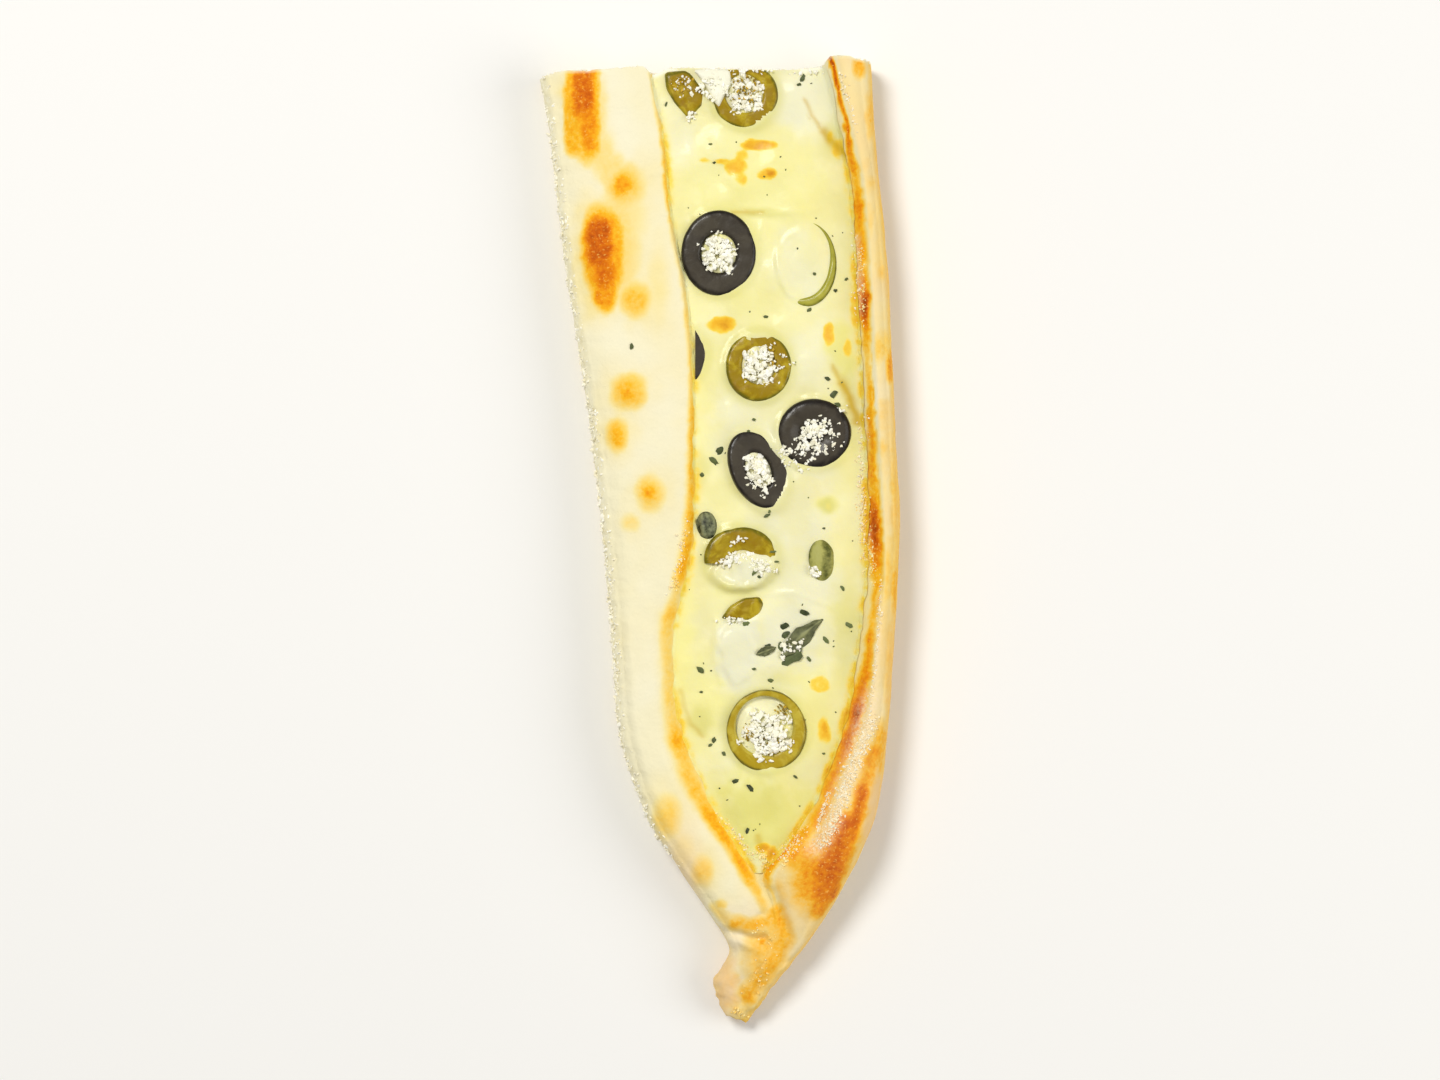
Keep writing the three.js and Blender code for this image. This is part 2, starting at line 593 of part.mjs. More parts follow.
// A thin wavy leaf, both faces alike, lying in the top of the filling.
function leaf({ from, to, width }, grow) {
  const start = new THREE.Vector3(...from, 0);
  const along = new THREE.Vector3(...to, 0).sub(start);
  const across = new THREE.Vector3(-along.y, along.x, 0).normalize();
  const length = along.length();
  const rings = [];
  for (let i = 0; i <= LEAF_STEPS; i += 1) {
    const u = lerp(-grow / length, 1 + grow / length, i / LEAF_STEPS);
    const share = Math.sin(Math.PI * clamp(u, LEAF_POINT, 1 - LEAF_POINT)) ** LEAF_FULLNESS;
    const half = (width / 2) * share + grow;
    const thick = (LEAF_THICKNESS / 2) * Math.max(share, LEAF_LEAST_THICKNESS) + grow;
    const centre = start.clone().addScaledVector(along, u);
    const z = fillingAt(centre.x, centre.y) + LEAF_WAVE * Math.sin(u * LEAF_WAVE_TURNS);
    rings.push(LEAF_SECTION.map(([a, b]) => {
      const point = centre.clone().addScaledVector(across, a * half);
      return point.setZ(z + b * thick);
    }));
  }
  return loftAlong(rings);
}

// The arc of a slice that shows where the rest of it has sunk into the filling.
function sliver({ at, radii, from, to, proud }, grow) {
  const rings = [];
  for (let i = 0; i <= SLIVER_STEPS; i += 1) {
    const u = i / SLIVER_STEPS;
    const angle = degToRad(lerp(from - grow * SLIVER_GROWTH, to + grow * SLIVER_GROWTH, u));
    const share = Math.sin(Math.PI * clamp(u, SLIVER_POINT, 1 - SLIVER_POINT)) ** SLIVER_FULLNESS;
    const width = lerp(...SLIVER_WIDTHS, u) * share + 2 * grow;
    const out = new THREE.Vector3(Math.cos(angle) * radii[0], Math.sin(angle) * radii[1], 0);
    const inward = out.clone().normalize();
    const centre = new THREE.Vector3(at[0], at[1], 0).add(out).addScaledVector(inward, -width / 2 + grow);
    const top = fillingAt(centre.x, centre.y) + proud + grow;
    const bottom = top - SLIVER_DEPTH - 2 * grow;
    const section = [[-0.5, bottom], [0.5, bottom], ...SLIVER_TOP.map(([a, drop]) => [a, top - drop])];
    rings.push(section.map(([a, z]) => centre.clone().addScaledVector(inward, a * width).setZ(z)));
  }
  return loftAlong(rings);
}

// A craggy heap of crumbs in the hole of a slice, grown together with the filling under it.
function crumbHeap({ at, radii, hole, turn }, random) {
  const ball = new THREE.IcosahedronGeometry(1, 1);
  const geometry = mergeVertices(ball.deleteAttribute('normal').deleteAttribute('uv'));
  const points = geometry.attributes.position;
  const size = [...radii.map((radius) => radius * hole - 2 * GAP - RING_HOLE_ROUNDING), HEAP_RISE];
  for (let i = 0; i < points.count; i += 1) {
    const crag = lerp(...HEAP_CRAGS, random());
    const point = new THREE.Vector3().fromBufferAttribute(points, i).multiplyScalar(crag);
    points.setXYZ(i, ...point.multiply(new THREE.Vector3(...size)).toArray());
  }
  geometry.rotateZ(degToRad(turn));
  geometry.translate(at[0], at[1], fillingAt(...at) - HEAP_SINK);
  return toSolid(geometry);
}

function fleck([x, y, turn]) {
  const geometry = new THREE.OctahedronGeometry(1, 0);
  geometry.scale(...FLECK_SIZE);
  geometry.rotateZ(degToRad(turn));
  geometry.translate(x, y, fillingAt(x, y) + FLECK_PROUD);
  return toSolid(geometry);
}

// Each topping is made once at its own size and once larger, as the socket that it lies in.
function makeToppings() {
  const toppings = RING_SLICES.map((slice) => ({
    name: slice.name,
    material: MATERIALS[slice.hue],
    shape: (grow) => ringSlice(slice, RING_PROUD, grow),
  }));
  const shapes = [
    [SLIVER, MATERIALS.green, sliver], [WEDGE, MATERIALS.green, outlinedPiece],
    [CHIP, MATERIALS.green, outlinedPiece], [CAPER, MATERIALS.black, bud], [BUD, MATERIALS.herb, bud],
    ...LEAVES.map((each) => [each, MATERIALS.herb, leaf]),
  ];
  shapes.forEach(([size, material, make]) => {
    toppings.push({ name: size.name, material, shape: (grow) => make(size, grow) });
  });
  toppings.push({
    name: HALF_MOON.name,
    material: MATERIALS.black,
    shape: (grow) => ringSlice(HALF_MOON, HALF_MOON.proud, grow),
  });
  return toppings;
}

// What limits the slices that the knife, the lip and the cheese cut short.
function limitOf(name) {
  const low = [-FAR, -FAR, -FAR];
  const high = [FAR, FAR, FAR];
  if (name === 'green_olive_ring_cut_end') {
    high[1] = CUT_Y - CUT_CLEARANCE;
  } else if (name === 'green_olive_half') {
    low[1] = CHEESE_EDGE_Y;
  } else if (name === HALF_MOON.name) {
    low[0] = sectionAt(HALF_MOON.at[1]).fillLeft + 2 * GAP;
  }
  return boxSolid(low, high);
}

function makeCrust() {
  const stations = [
    ...spaced(CUT_Y, POCKET_END_Y, STATION_PITCH),
    ...spaced(POCKET_END_Y, TIP_Y + TIP_END_LENGTH, TIP_PITCH).slice(1),
    ...spaced(TIP_Y + TIP_END_LENGTH, TIP_Y, TIP_END_PITCH).slice(1),
  ];
  const dough = toSolid(loft(stations.map(crustRing)));
  const opening = [CUT_Y + KNIFE_OVERRUN, ...spaced(CUT_Y, POCKET_END_Y, STATION_PITCH)];
  return dough.subtract(toSolid(loft(opening.map(pocketRing))));
}

function makeFilling(sockets) {
  const stations = spaced(CUT_Y, POCKET_END_Y, STATION_PITCH);
  stations[stations.length - 1] += 2 * GAP;
  let body = toSolid(loft(stations.map(fillingRing)));
  sockets.forEach((socket) => {
    body = body.subtract(socket);
  });
  const random = seeded(HEAP_SEED);
  RING_SLICES.filter(({ name }) => name !== 'green_olive_half').forEach((slice) => {
    body = body.add(crumbHeap(slice, random));
  });
  FLECKS.forEach((each) => {
    body = body.add(fleck(each));
  });
  return body;
}

const bread = new THREE.Group();
const toppings = makeToppings();
const sockets = toppings.map(({ name, shape }) => shape(GAP).intersect(limitOf(name)));
bread.add(toMesh('crust', makeCrust(), MATERIALS.crust));
bread.add(toMesh('labneh_filling', makeFilling(sockets), MATERIALS.filling));
toppings.forEach(({ name, material, shape }) => {
  bread.add(toMesh(name, shape(0).intersect(limitOf(name)), material));
});

export default bread;
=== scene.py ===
import math
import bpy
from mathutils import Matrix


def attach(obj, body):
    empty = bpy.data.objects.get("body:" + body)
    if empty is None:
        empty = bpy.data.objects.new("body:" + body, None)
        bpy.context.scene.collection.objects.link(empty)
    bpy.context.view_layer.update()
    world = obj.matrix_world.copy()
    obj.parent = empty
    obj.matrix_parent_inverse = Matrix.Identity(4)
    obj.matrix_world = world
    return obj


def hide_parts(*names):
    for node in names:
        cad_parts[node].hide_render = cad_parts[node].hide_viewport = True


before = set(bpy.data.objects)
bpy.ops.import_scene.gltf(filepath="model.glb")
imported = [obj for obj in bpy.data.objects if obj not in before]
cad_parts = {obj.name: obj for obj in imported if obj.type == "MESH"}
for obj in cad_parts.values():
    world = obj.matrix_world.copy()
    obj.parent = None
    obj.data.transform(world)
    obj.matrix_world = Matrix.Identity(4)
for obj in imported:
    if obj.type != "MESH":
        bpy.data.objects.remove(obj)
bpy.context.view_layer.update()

from types import SimpleNamespace

import bmesh
import bpy
import numpy as np
from mathutils import Quaternion, Vector

# All lengths are in millimetres until a mesh is made
MM = 0.001


# Curves, noise and soft shapes
def through(*stations):
    """The smooth curve through (position, value) stations."""
    at, value = np.array(sorted(stations), float).T
    slope = np.gradient(value, at)
    slope[1:-1] = (value[2:] - value[:-2]) / (at[2:] - at[:-2])

    def curve(position):
        p = np.clip(position, at[0], at[-1])
        i = np.clip(np.searchsorted(at, p), 1, len(at) - 1)
        span = at[i] - at[i - 1]
        t = (p - at[i - 1]) / span
        rise = t * t * (3 - 2 * t)
        start = span * slope[i - 1] * t * (1 - t) ** 2
        end = span * slope[i] * t * t * (1 - t)
        return value[i - 1] + (value[i] - value[i - 1]) * rise + start - end

    return curve


def smoothstep(x, low, high):
    t = np.clip((x - low) / (high - low), 0, 1)
    return t * t * (3 - 2 * t)


def make_noise(seed, size=64):
    """A function of x and y that wanders smoothly between -1 and 1."""
    table = np.random.default_rng(seed).uniform(-1, 1, (size, size))

    def noise(x, y):
        fx, fy = np.floor(x), np.floor(y)
        ix, iy = fx.astype(int), fy.astype(int)
        tx, ty = smoothstep(x - fx, 0, 1), smoothstep(y - fy, 0, 1)
        a, b, c, d = (table[(ix + i) % size, (iy + j) % size] for j in (0, 1) for i in (0, 1))
        low, high = a + (b - a) * tx, c + (d - c) * tx
        return low + (high - low) * ty

    return noise


noise_a, noise_b, noise_c = make_noise(3), make_noise(5), make_noise(8)


def rough(x, y, size, octaves=3, noise=noise_a):
    """Noise with finer and finer detail; size is that of the broadest waves."""
    total, amount, scale = 0, 1, 1 / size
    for _ in range(octaves):
        total = total + amount * noise(x * scale, y * scale)
        amount, scale = amount * 0.5, scale * 2.03
    return total


def turned(x, y, degrees):
    a = math.radians(degrees)
    return x * math.cos(a) - y * math.sin(a), x * math.sin(a) + y * math.cos(a)


def oval(x, y, at, radii, turn=0):
    """Distance from the middle of an oval, which is 1 at its edge."""
    u, v = turned(x - at[0], y - at[1], -turn)
    return np.hypot(u / radii[0], v / radii[1])


def domes(x, y, table):
    """Height of rounded mounds: x, y, radii x, y, height."""
    return sum(height * np.clip(1 - oval(x, y, (cx, cy), (rx, ry)) ** 2, 0, 1) ** 2
               for cx, cy, rx, ry, height in table)


def distance_to_line(x, y, line):
    nearest = np.full(np.shape(x), np.inf)
    for (ax, ay), (bx, by) in zip(line, line[1:]):
        dx, dy = bx - ax, by - ay
        t = np.clip(((x - ax) * dx + (y - ay) * dy) / (dx * dx + dy * dy), 0, 1)
        nearest = np.minimum(nearest, np.hypot(x - ax - t * dx, y - ay - t * dy))
    return nearest


def ridges(x, y, table):
    """Height of ridges along lines: line, height, half width."""
    return sum(height * np.exp(-(distance_to_line(x, y, line) / width) ** 2)
               for line, height, width in table)


def spots(x, y, table, wobble=0.35):
    """How strongly any spot covers a place: x, y, radii x, y, amount, softness, squareness if not 2."""
    wave_x, wave_y = rough(x, y, 2.4, 2, noise_b), rough(x, y, 2.4, 2, noise_c)
    total = np.zeros(np.shape(x))
    for cx, cy, rx, ry, amount, soft, *square in table:
        power = square[0] if square else 2
        shift = min(wobble, 0.3 * min(rx, ry))
        from_x, from_y = (x + shift * wave_x - cx) / rx, (y + shift * wave_y - cy) / ry
        away = (np.abs(from_x) ** power + np.abs(from_y) ** power) ** (1 / power)
        total = np.maximum(total, amount * (1 - smoothstep(away, 1 - soft, 1 + soft)))
    return total


def strokes(x, y, table, wobble=0.5, size=2.4):
    """The same along lines: line, amount, half width, softness if the edge doesn't fade out evenly."""
    x, y = x + wobble * rough(x, y, size, 2, noise_b), y + wobble * rough(x, y, size, 2, noise_c)
    total = np.zeros(np.shape(x))
    for line, amount, width, *soft in table:
        away = distance_to_line(x, y, line) / width
        cover = 1 - smoothstep(away, 1 - soft[0], 1 + soft[0]) if soft else np.exp(-away ** 2)
        total = np.maximum(total, amount * cover)
    return total


# Form of the bread, which lies along y
CUT_Y = 113.2
TIP_Y = -115.5
POCKET_END_Y = -79.6
LEFT_BULGE = 2.6
RIGHT_BULGE_SHARE = 0.38
RIGHT_BULGE_RANGE = (1.2, 4.2)
BULGE_SHARE_OF_WIDTH = 0.3
FLAP_SHOULDER_DROP = 1
FLAP_SHOULDER_SHARE = 0.25
FLAP_LIP_START = 0.75
FLAP_LIP_DROP = 0.3
FLAP_CROWN = 0.4
RIM_INNER_DROP = 1.2
RIM_OUTER_DROP = 1.6
RIM_CREST = 0.4
FLAP_THICKNESS = 4.2
LIP_DEPTH = 1.3
UNDER_RIM = 2
UNDER_RIM_DEPTH = 2.4
CREASE_WIDTH = 0.5
CREASE_SHARE_OF_WIDTH = 0.1
FLAP_OVER_VALLEY = 0.6
LEAST_POCKET_LEFT = 1.6
LEAST_POCKET_RIGHT = 1.4
LEAST_UNDER_FLAP = 1
FILLING_CROWN = 0.7
BEVEL_ROUNDNESS = 1.7
CUT_WARP_START_Y = 98

# Edges, widths and heights of the cross-section at stations along y
left_side = through(
    (116, -43.45), (92, -40.2), (66, -37.1), (34, -32), (0, -28), (-29, -25.6), (-46, -24.2),
    (-57, -21.1), (-68, -16.8), (-80, -9), (-91, -1.7), (-98, 2.2), (-102, 0.9), (-106, -1.6),
    (-110, -0.9), (-114, 1.5), (TIP_Y, 4.4),
)
right_side = through(
    (116, 36.2), (92, 37.8), (66, 40.3), (30, 42), (5, 43.2), (-12, 42.6), (-30, 41.6), (-48, 40.1),
    (-58, 39), (-68, 36.9), (-78, 32.4), (-88, 27.2), (-97, 21), (-104, 15.4), (-110, 10.8), (-114, 8),
    (TIP_Y, 5.8),
)
flap_edge = through(
    (116, -17.9), (97, -14.6), (76, -12.3), (60, -9.2), (42, -7.5), (20, -7.6), (4, -8.4), (-10, -11),
    (-20, -14.2), (-32, -14.2), (-46, -13.2), (-57, -9.4), (-66, -4.5), (-74, 1.4), (-82, 6), (-88, 9.6),
    (-98, 10.4), (-106, 5.8), (-112, 4.1), (TIP_Y, 4.94),
)
rim_edge = through(
    (116, 25.9), (100, 30.3), (84, 33.6), (60, 35.3), (30, 36.8), (5, 38.1), (-8, 38.4), (-22, 36.8),
    (-35, 35.5), (-46, 33.4), (-56, 28.9), (-66, 24.6), (-71, 20.8), (-76, 14.9), (-80.5, 12),
    (-88, 14.2), (-98, 14), (-106, 8.8), (-112, 6.4), (TIP_Y, 5.26),
)
flap_bevel = through(
    (116, 1.2), (60, 1.3), (20, 1.7), (4, 2.6), (-12, 3.2), (-20, 3.8), (-32, 3.4), (-46, 4.4), (-57, 5),
    (-66, 4.4), (-74, 3.8), (-82, 3.4), (-90, 2), (-98, 1.4), (-106, 1), (TIP_Y, 0.05),
)
rim_bevel = through(
    (116, 2.4), (60, 2.9), (10, 2.8), (-5, 3.6), (-24, 3.6), (-46, 4.4), (-58, 3.5), (-70, 4.4),
    (-76, 2.2), (-80.5, 1.8), (-90, 1.6), (-98, 1.4), (-106, 1), (TIP_Y, 0.05),
)
flap_height = through(
    (116, 14.2), (60, 15), (0, 15.6), (-60, 16), (-75, 16), (-84, 15.4), (-92, 14.2), (-98, 12.9),
    (-106, 10.8), (-113, 8.4), (TIP_Y, 6.4),
)
rim_height = through(
    (116, 16.8), (60, 17.6), (0, 18.2), (-40, 18.3), (-62, 19), (-75, 18.4), (-84, 16.5), (-92, 14.5),
    (-98, 12.9), (-106, 10.6), (-113, 8.2), (TIP_Y, 6.2),
)
valley_height = through(
    (116, 11.7), (60, 12.2), (0, 12.5), (-40, 12.7), (-62, 13), (-75, 13.6), (-84, 13.7), (-92, 13.3),
    (-98, 12.2), (-106, 10.2), (-113, 7.9), (TIP_Y, 6),
)
floor_height = through((116, 4.4), (0, 4.6), (-45, 5), (-62, 6.4), (-74, 9.4), (-82, 11.6))
tip_lift = through((-98, 0), (-107, 0.3), (-113, 1), (TIP_Y, 2.2))
left_wall_width = through((116, 9.5), (0, 9), (-40, 9), (-60, 10), (-82, 15))
# y of the cut at each x
cut_line = through(
    (-44, 110.6), (-38, 112), (-27, 112.5), (-18.5, 113.2), (-16, 111.6), (-12, 113), (12, 112.6),
    (24, 113.4), (27, 115.5), (37, 114.3),
)
# How brown the bevels under the two lips are
flap_bevel_toast = through(
    (116, 0.1), (108, 0.12), (100, 0.2), (92, 0.34), (84, 0.36), (76, 0.2), (66, 0.12), (58, 0.14),
    (46, 0.22), (30, 0.3), (14, 0.33), (4, 0.36), (-3, 0.5), (-9, 0.52), (-14, 0.3), (-18, 0.4),
    (-24, 0.22), (-33, 0.2), (-42, 0.36), (-48, 0.36), (-56, 0.3), (-64, 0.4), (-72, 0.4), (-80, 0.36),
    (-88, 0.18), (-98, 0), (TIP_Y, 0),
)
rim_bevel_toast = through(
    (116, 0.95), (108, 0.84), (102, 0.6), (92, 0.5), (80, 0.5), (70, 0.52), (62, 0.62), (55, 0.9),
    (51, 0.6), (44, 0.46), (36, 0.44), (20, 0.5), (8, 0.6), (1, 0.86), (-4, 0.8), (-10, 0.5), (-22, 0.42),
    (-32, 0.6), (-38, 0.76), (-46, 0.6), (-56, 0.58), (-66, 0.56), (-72, 0.5), (-78, 0.4), (-84, 0.2),
    (-94, 0), (TIP_Y, 0),
)
# The toasted bands there: y, distance from the lip, half width
FLAP_BAND = [
    (116, 0.5, 0.5), (84, 0.6, 0.7), (60, 0.6, 0.8), (46, 0.7, 0.9), (20, 1, 1.2), (0, 1.4, 1.6),
    (-10, 1.4, 1.6), (-20, 2, 2.1), (-32, 2.2, 2.2), (-46, 2.6, 2.3), (-57, 2.6, 2.4), (-66, 2.2, 2.2),
    (-74, 1.9, 1.9), (-82, 1.5, 1.6), (-90, 0.9, 1.1), (TIP_Y, 0.3, 0.4),
]
RIM_BAND = [
    (116, 0.6, 0.7), (100, 0.5, 0.6), (92, 0.8, 0.9), (84, 1.1, 1.3), (70, 1.2, 1.5), (60, 1.2, 1.5),
    (54, 1, 1.3), (44, 0.9, 0.9), (32, 0.9, 0.9), (20, 1.2, 1.4), (8, 1.3, 1.5), (-4, 1.2, 1.7),
    (-14, 0.8, 1.1), (-26, 1, 1.2), (-34, 1.5, 1.8), (-42, 2.1, 2.1), (-56, 1.8, 2.4), (-66, 1.1, 2.5),
    (-72, 1.6, 2.4), (-80, 0.8, 0.9), (TIP_Y, 0.3, 0.4),
]
flap_band_place, flap_band_width, rim_band_place, rim_band_width = (
    through(*((row[0], row[column]) for row in band)) for band in (FLAP_BAND, RIM_BAND) for column in (1, 2))

BLISTERS = [
    (-32.3, 101.4, 5.6, 12, 0.9), (-23.1, 84.2, 4.4, 4.8, 0.6), (-27.9, 67.8, 6.6, 13.6, 1.1),
    (-20.7, 57.4, 4, 4.4, 0.5), (-21.5, 35.4, 4.6, 5.2, 0.8), (-24.7, 24.6, 3.4, 4.2, 0.5),
    (-16.3, 11, 4, 4.2, 0.6), (-12.7, -65.8, 4.2, 6, 0.5), (-4.3, -79, 3.6, 4.4, 0.4),
    (33.7, 55, 2.6, 3, 1.1), (30.5, -73.8, 5.5, 12, 0.7), (10.6, -101.5, 5.5, 7, 0.8),
]
# Folds and cracks, with their depth
CREASES = [
    ([(28.2, -56), (25.6, -62), (22.4, -72.6)], 1.3, 1.3),
    ([(0.4, -93.2), (4.4, -94.2), (7.6, -95.4), (10.4, -95.2)], 1.3, 1),
    ([(1.6, -95.6), (4.6, -96.1), (7.4, -97.4)], -0.5, 0.9),
    ([(9.4, -96.8), (10.8, -97.2), (11.8, -96.2)], 0.6, 0.5),
    ([(5.2, -99), (4, -104), (4.6, -111)], 0.5, 1.5),
    ([(9.2, -89.8), (11.2, -89), (13.2, -87.2)], 0.5, 0.6),
    ([(12.4, -84), (14.6, -89), (16.8, -95), (15.8, -101)], 0.9, 1.3),
    ([(8.4, -100), (9.6, -105), (8.2, -109)], 0.35, 0.8),
]
MOUNDS = [
    (7.5, -24, 13, 14, 0.8), (14, 88, 16, 12, 0.5), (20, 66, 11, 15, 0.6), (-1, 94, 10, 9, 0.4),
    (18, 6, 10, 12, 0.5), (6, 28, 12, 9, 0.3), (22, -36, 9, 12, 0.4), (-2, -36, 7, 14, 0.4),
    (8, -60, 10, 9, 0.5), (26, 44, 7, 12, 0.5), (22, 104, 9, 9, 0.5),
]
# Ridges and cracks of melted cheese
MELT_LINES = [
    ([(20.6, 104.9), (21.2, 101), (22.9, 98.1)], -0.3, 0.5),
    ([(24, 98.9), (27, 94.3), (30.1, 92.1)], -0.4, 0.8),
    ([(28.4, 39.2), (30.6, 35), (33, 29.8)], -0.35, 0.7), ([(10.4, 78), (9.8, 72)], 0.3, 0.5),
    ([(13.2, 72), (13.8, 66), (16, 59), (19, 56.6)], 0.18, 0.5),
    ([(-10, -34), (-8, -44), (-4, -47)], -0.2, 0.8), ([(32, -16), (31.4, -28), (29, -40)], 0.22, 0.7),
    ([(8, -13), (18, -12.6), (27, -16)], 0.18, 0.6), ([(-0.6, -19.4), (-1.2, -28), (0.4, -34)], 0.3, 0.8),
    ([(-8, 96), (-5.6, 88), (-4.4, 82)], 0.16, 0.6),
]
TOAST = [
    (-32.9, 102.6, 4.5, 11, 0.42, 0.14, 6), (-32.6, 107.6, 3.4, 8.4, 0.74, 0.5, 3),
    (-31.4, 98.6, 2.6, 7.6, 0.6, 0.6, 2.4), (-29.4, 101, 3, 11, 0.16, 0.6, 3),
    (-28, 92.6, 3.4, 6.6, 0.17, 0.7), (-25.8, 88.4, 3.4, 5, 0.18, 0.6), (-22.9, 84.4, 4.3, 4.9, 0.3, 0.7),
    (-23.2, 84.5, 2.3, 2.9, 0.58, 0.9), (-27.8, 68.6, 5.1, 11, 0.48, 0.26, 2.2),
    (-27.4, 59.4, 3, 5, 0.56, 0.4), (-28.8, 70.8, 3.9, 8, 0.8, 0.5, 2.1),
    (-27.6, 64.6, 3.2, 7.4, 0.68, 0.6), (-25.4, 71, 5.6, 12.4, 0.19, 0.5),
    (-20.4, 57.3, 3.4, 4, 0.32, 0.6), (-22.6, 77, 4.6, 6, 0.12, 0.7),
    (-21.7, 35.3, 3.9, 4.1, 0.36, 0.56, 2.2), (-22.2, 35.6, 2.5, 2.7, 0.5, 0.9, 2.1),
    (-24.5, 24.8, 2.3, 3.4, 0.44, 0.7), (-16.7, 11.1, 3.1, 3.8, 0.34, 0.7),
    (-16.7, 11.4, 2, 2.2, 0.52, 0.9), (-21.4, 4, 2, 2, 0.2, 0.8), (-36.5, 45, 2, 12, 0.08, 0.8),
    (-14.6, 62, 2.4, 9, 0.08, 0.8), (-12.6, -66, 3.3, 5, 0.24, 0.6), (-12.7, -66.4, 2, 3, 0.28, 0.9),
    (-4.4, -78.8, 2.4, 3.4, 0.26, 0.7), (0.4, -87, 1.6, 1.2, 0.24, 0.6), (-9, -74, 3, 4, 0.1, 0.7),
    (33, 111, 1.6, 2.2, 0.44, 0.6), (36, 101.5, 1.4, 6, 0.36, 0.7), (38.2, 76, 1.6, 20, 0.16, 0.8),
    (41, 41.5, 1.4, 4.6, 0.5, 0.5), (42.2, 14, 1.6, 22, 0.3, 0.8), (42.2, -12, 1.6, 8, 0.42, 0.7),
    (41, -32, 2.2, 14, 0.32, 0.8), (39, -18, 2, 22, 0.16, 0.8), (38.6, -50, 2.6, 7, 0.42, 0.6),
    (10.8, -99.4, 4.6, 7.6, 0.34, 0.7, 2.2), (6.8, -109.4, 2.4, 3.6, 0.46, 0.8),
    (10.4, -96, 1, 0.9, 0.5, 0.8), (17, -84, 5, 6, 0.1, 0.8),
]
TOAST_LINES = [
    ([(36.6, -50), (35.2, -56), (33.8, -62)], 0.5, 2.3, 0.85),
    ([(34, -60), (32.4, -66), (31, -71)], 0.74, 2.2, 0.8),
    ([(29.8, -69), (26.6, -77), (24.8, -84)], 0.7, 4.2, 0.6),
    ([(29.8, -67), (28.4, -73.6), (26.4, -80)], 0.78, 2.9, 0.95),
    ([(26, -72), (22, -78), (21.6, -84)], 0.52, 4.6, 0.8), ([(24.4, -84), (23.8, -88)], 0.6, 3, 0.8),
    ([(22.6, -75), (17.4, -72.2), (18.4, -77)], 0.46, 2.8, 0.8),
    ([(3.4, -91.6), (7, -92), (11.6, -91.2), (14.2, -88.4)], 0.42, 1.6, 0.9),
    ([(-1, -88), (2, -91)], 0.2, 1.6, 0.9),
    ([(14.2, -91), (15, -95), (13.2, -100.6), (10.4, -104.6), (7, -108.8)], 0.42, 2.5, 0.9),
]
# Pinkish tint of the undersides that curl up
ROSY = [
    (41.6, -40, 3, 26, 0.6, 0.7), (37, -66, 3.2, 16, 0.9, 0.6), (1.4, -107, 3.4, 8, 0.9, 0.6),
    (8, -100, 9, 14, 0.35, 0.5), (27, -93, 4, 8, 0.5, 0.7), (-9, -80, 5, 12, 0.5, 0.8),
    (19, -84, 5, 6, 0.4, 0.7),
]
FLOUR = [
    ([(38.2, -14), (37.4, -28), (36.6, -37)], 0.5, 0.8),
    ([(36.6, -37), (33.6, -46), (31.4, -54), (28.4, -62), (25.2, -69.4), (22.6, -73)], 0.95, 2.1),
    ([(32.4, 72), (33, 62), (32.6, 54)], 0.7, 0.8), ([(34, 28), (34, 12), (34.6, 0)], 0.8, 0.9),
]
# Toasted, yellow, green and white places of the filling, and oil in its cracks
FILLING_TOAST = [
    (9.4, 94.4, 4.2, 1.2, 0.56, 0.3, 2.4), (5.2, 92, 1.6, 1.4, 0.3, 0.6), (3.8, 89.4, 2.6, 2, 0.46, 0.5),
    (5.4, 86.4, 1.4, 1.8, 0.34, 0.6), (11.4, 87.4, 2.4, 1.4, 0.42, 0.4), (12.2, 87.4, 1.4, 1, 0.66, 0.6),
    (0.6, 90.6, 2, 0.6, 0.4, 0.7), (0.4, 51.4, 3.4, 1.8, 0.5, 0.4), (1, 51, 1.9, 1.1, 0.62, 0.6),
    (26, 49.2, 1.3, 2.6, 0.5, 0.42), (30.5, 46, 1, 2.2, 0.34, 0.5), (24.1, -34.2, 2.3, 1.8, 0.3, 0.3),
    (24.9, -45.6, 1.6, 3, 0.42, 0.5), (25.1, -45, 1, 1.8, 0.6, 0.6), (10.4, -73.4, 1.7, 1.1, 0.66, 0.7),
    (12.3, -74.8, 1.3, 1.7, 0.6, 0.8), (25.9, 8, 0.9, 0.9, 0.14, 0.9), (9, -14.6, 1.2, 0.7, 0.5, 0.6),
    (28.2, 93.6, 1.5, 2, 0.46, 0.8), (26.2, 96.2, 0.8, 1.6, 0.36, 0.9), (-3.6, 90.8, 1.6, 0.6, 0.3, 0.7),
]
YELLOW = [
    (8, 84, 19, 17, 0.7, 0.6), (22, 62, 12, 14, 0.35, 0.7), (-3, 78, 5, 14, 0.5, 0.7),
    (10, 56, 20, 8, 0.5, 0.8), (-4, 30, 6, 22, 0.6, 0.7), (-9.6, -26, 3.6, 22, 0.9, 0.7),
    (-4, -40, 6, 12, 0.8, 0.7), (5, -15, 8, 6, 0.5, 0.7), (30, 0, 4, 18, 0.5, 0.8),
    (22, -42, 9, 12, 0.7, 0.7), (9, -66, 14, 12, 1, 0.7), (0, 10, 6, 12, 0.5, 0.8),
    (25.7, 8.2, 2.8, 2.6, 1, 0.5), (31, 20, 3, 12, 0.5, 0.7), (28.6, 45, 3.8, 7.6, 1, 0.4),
]
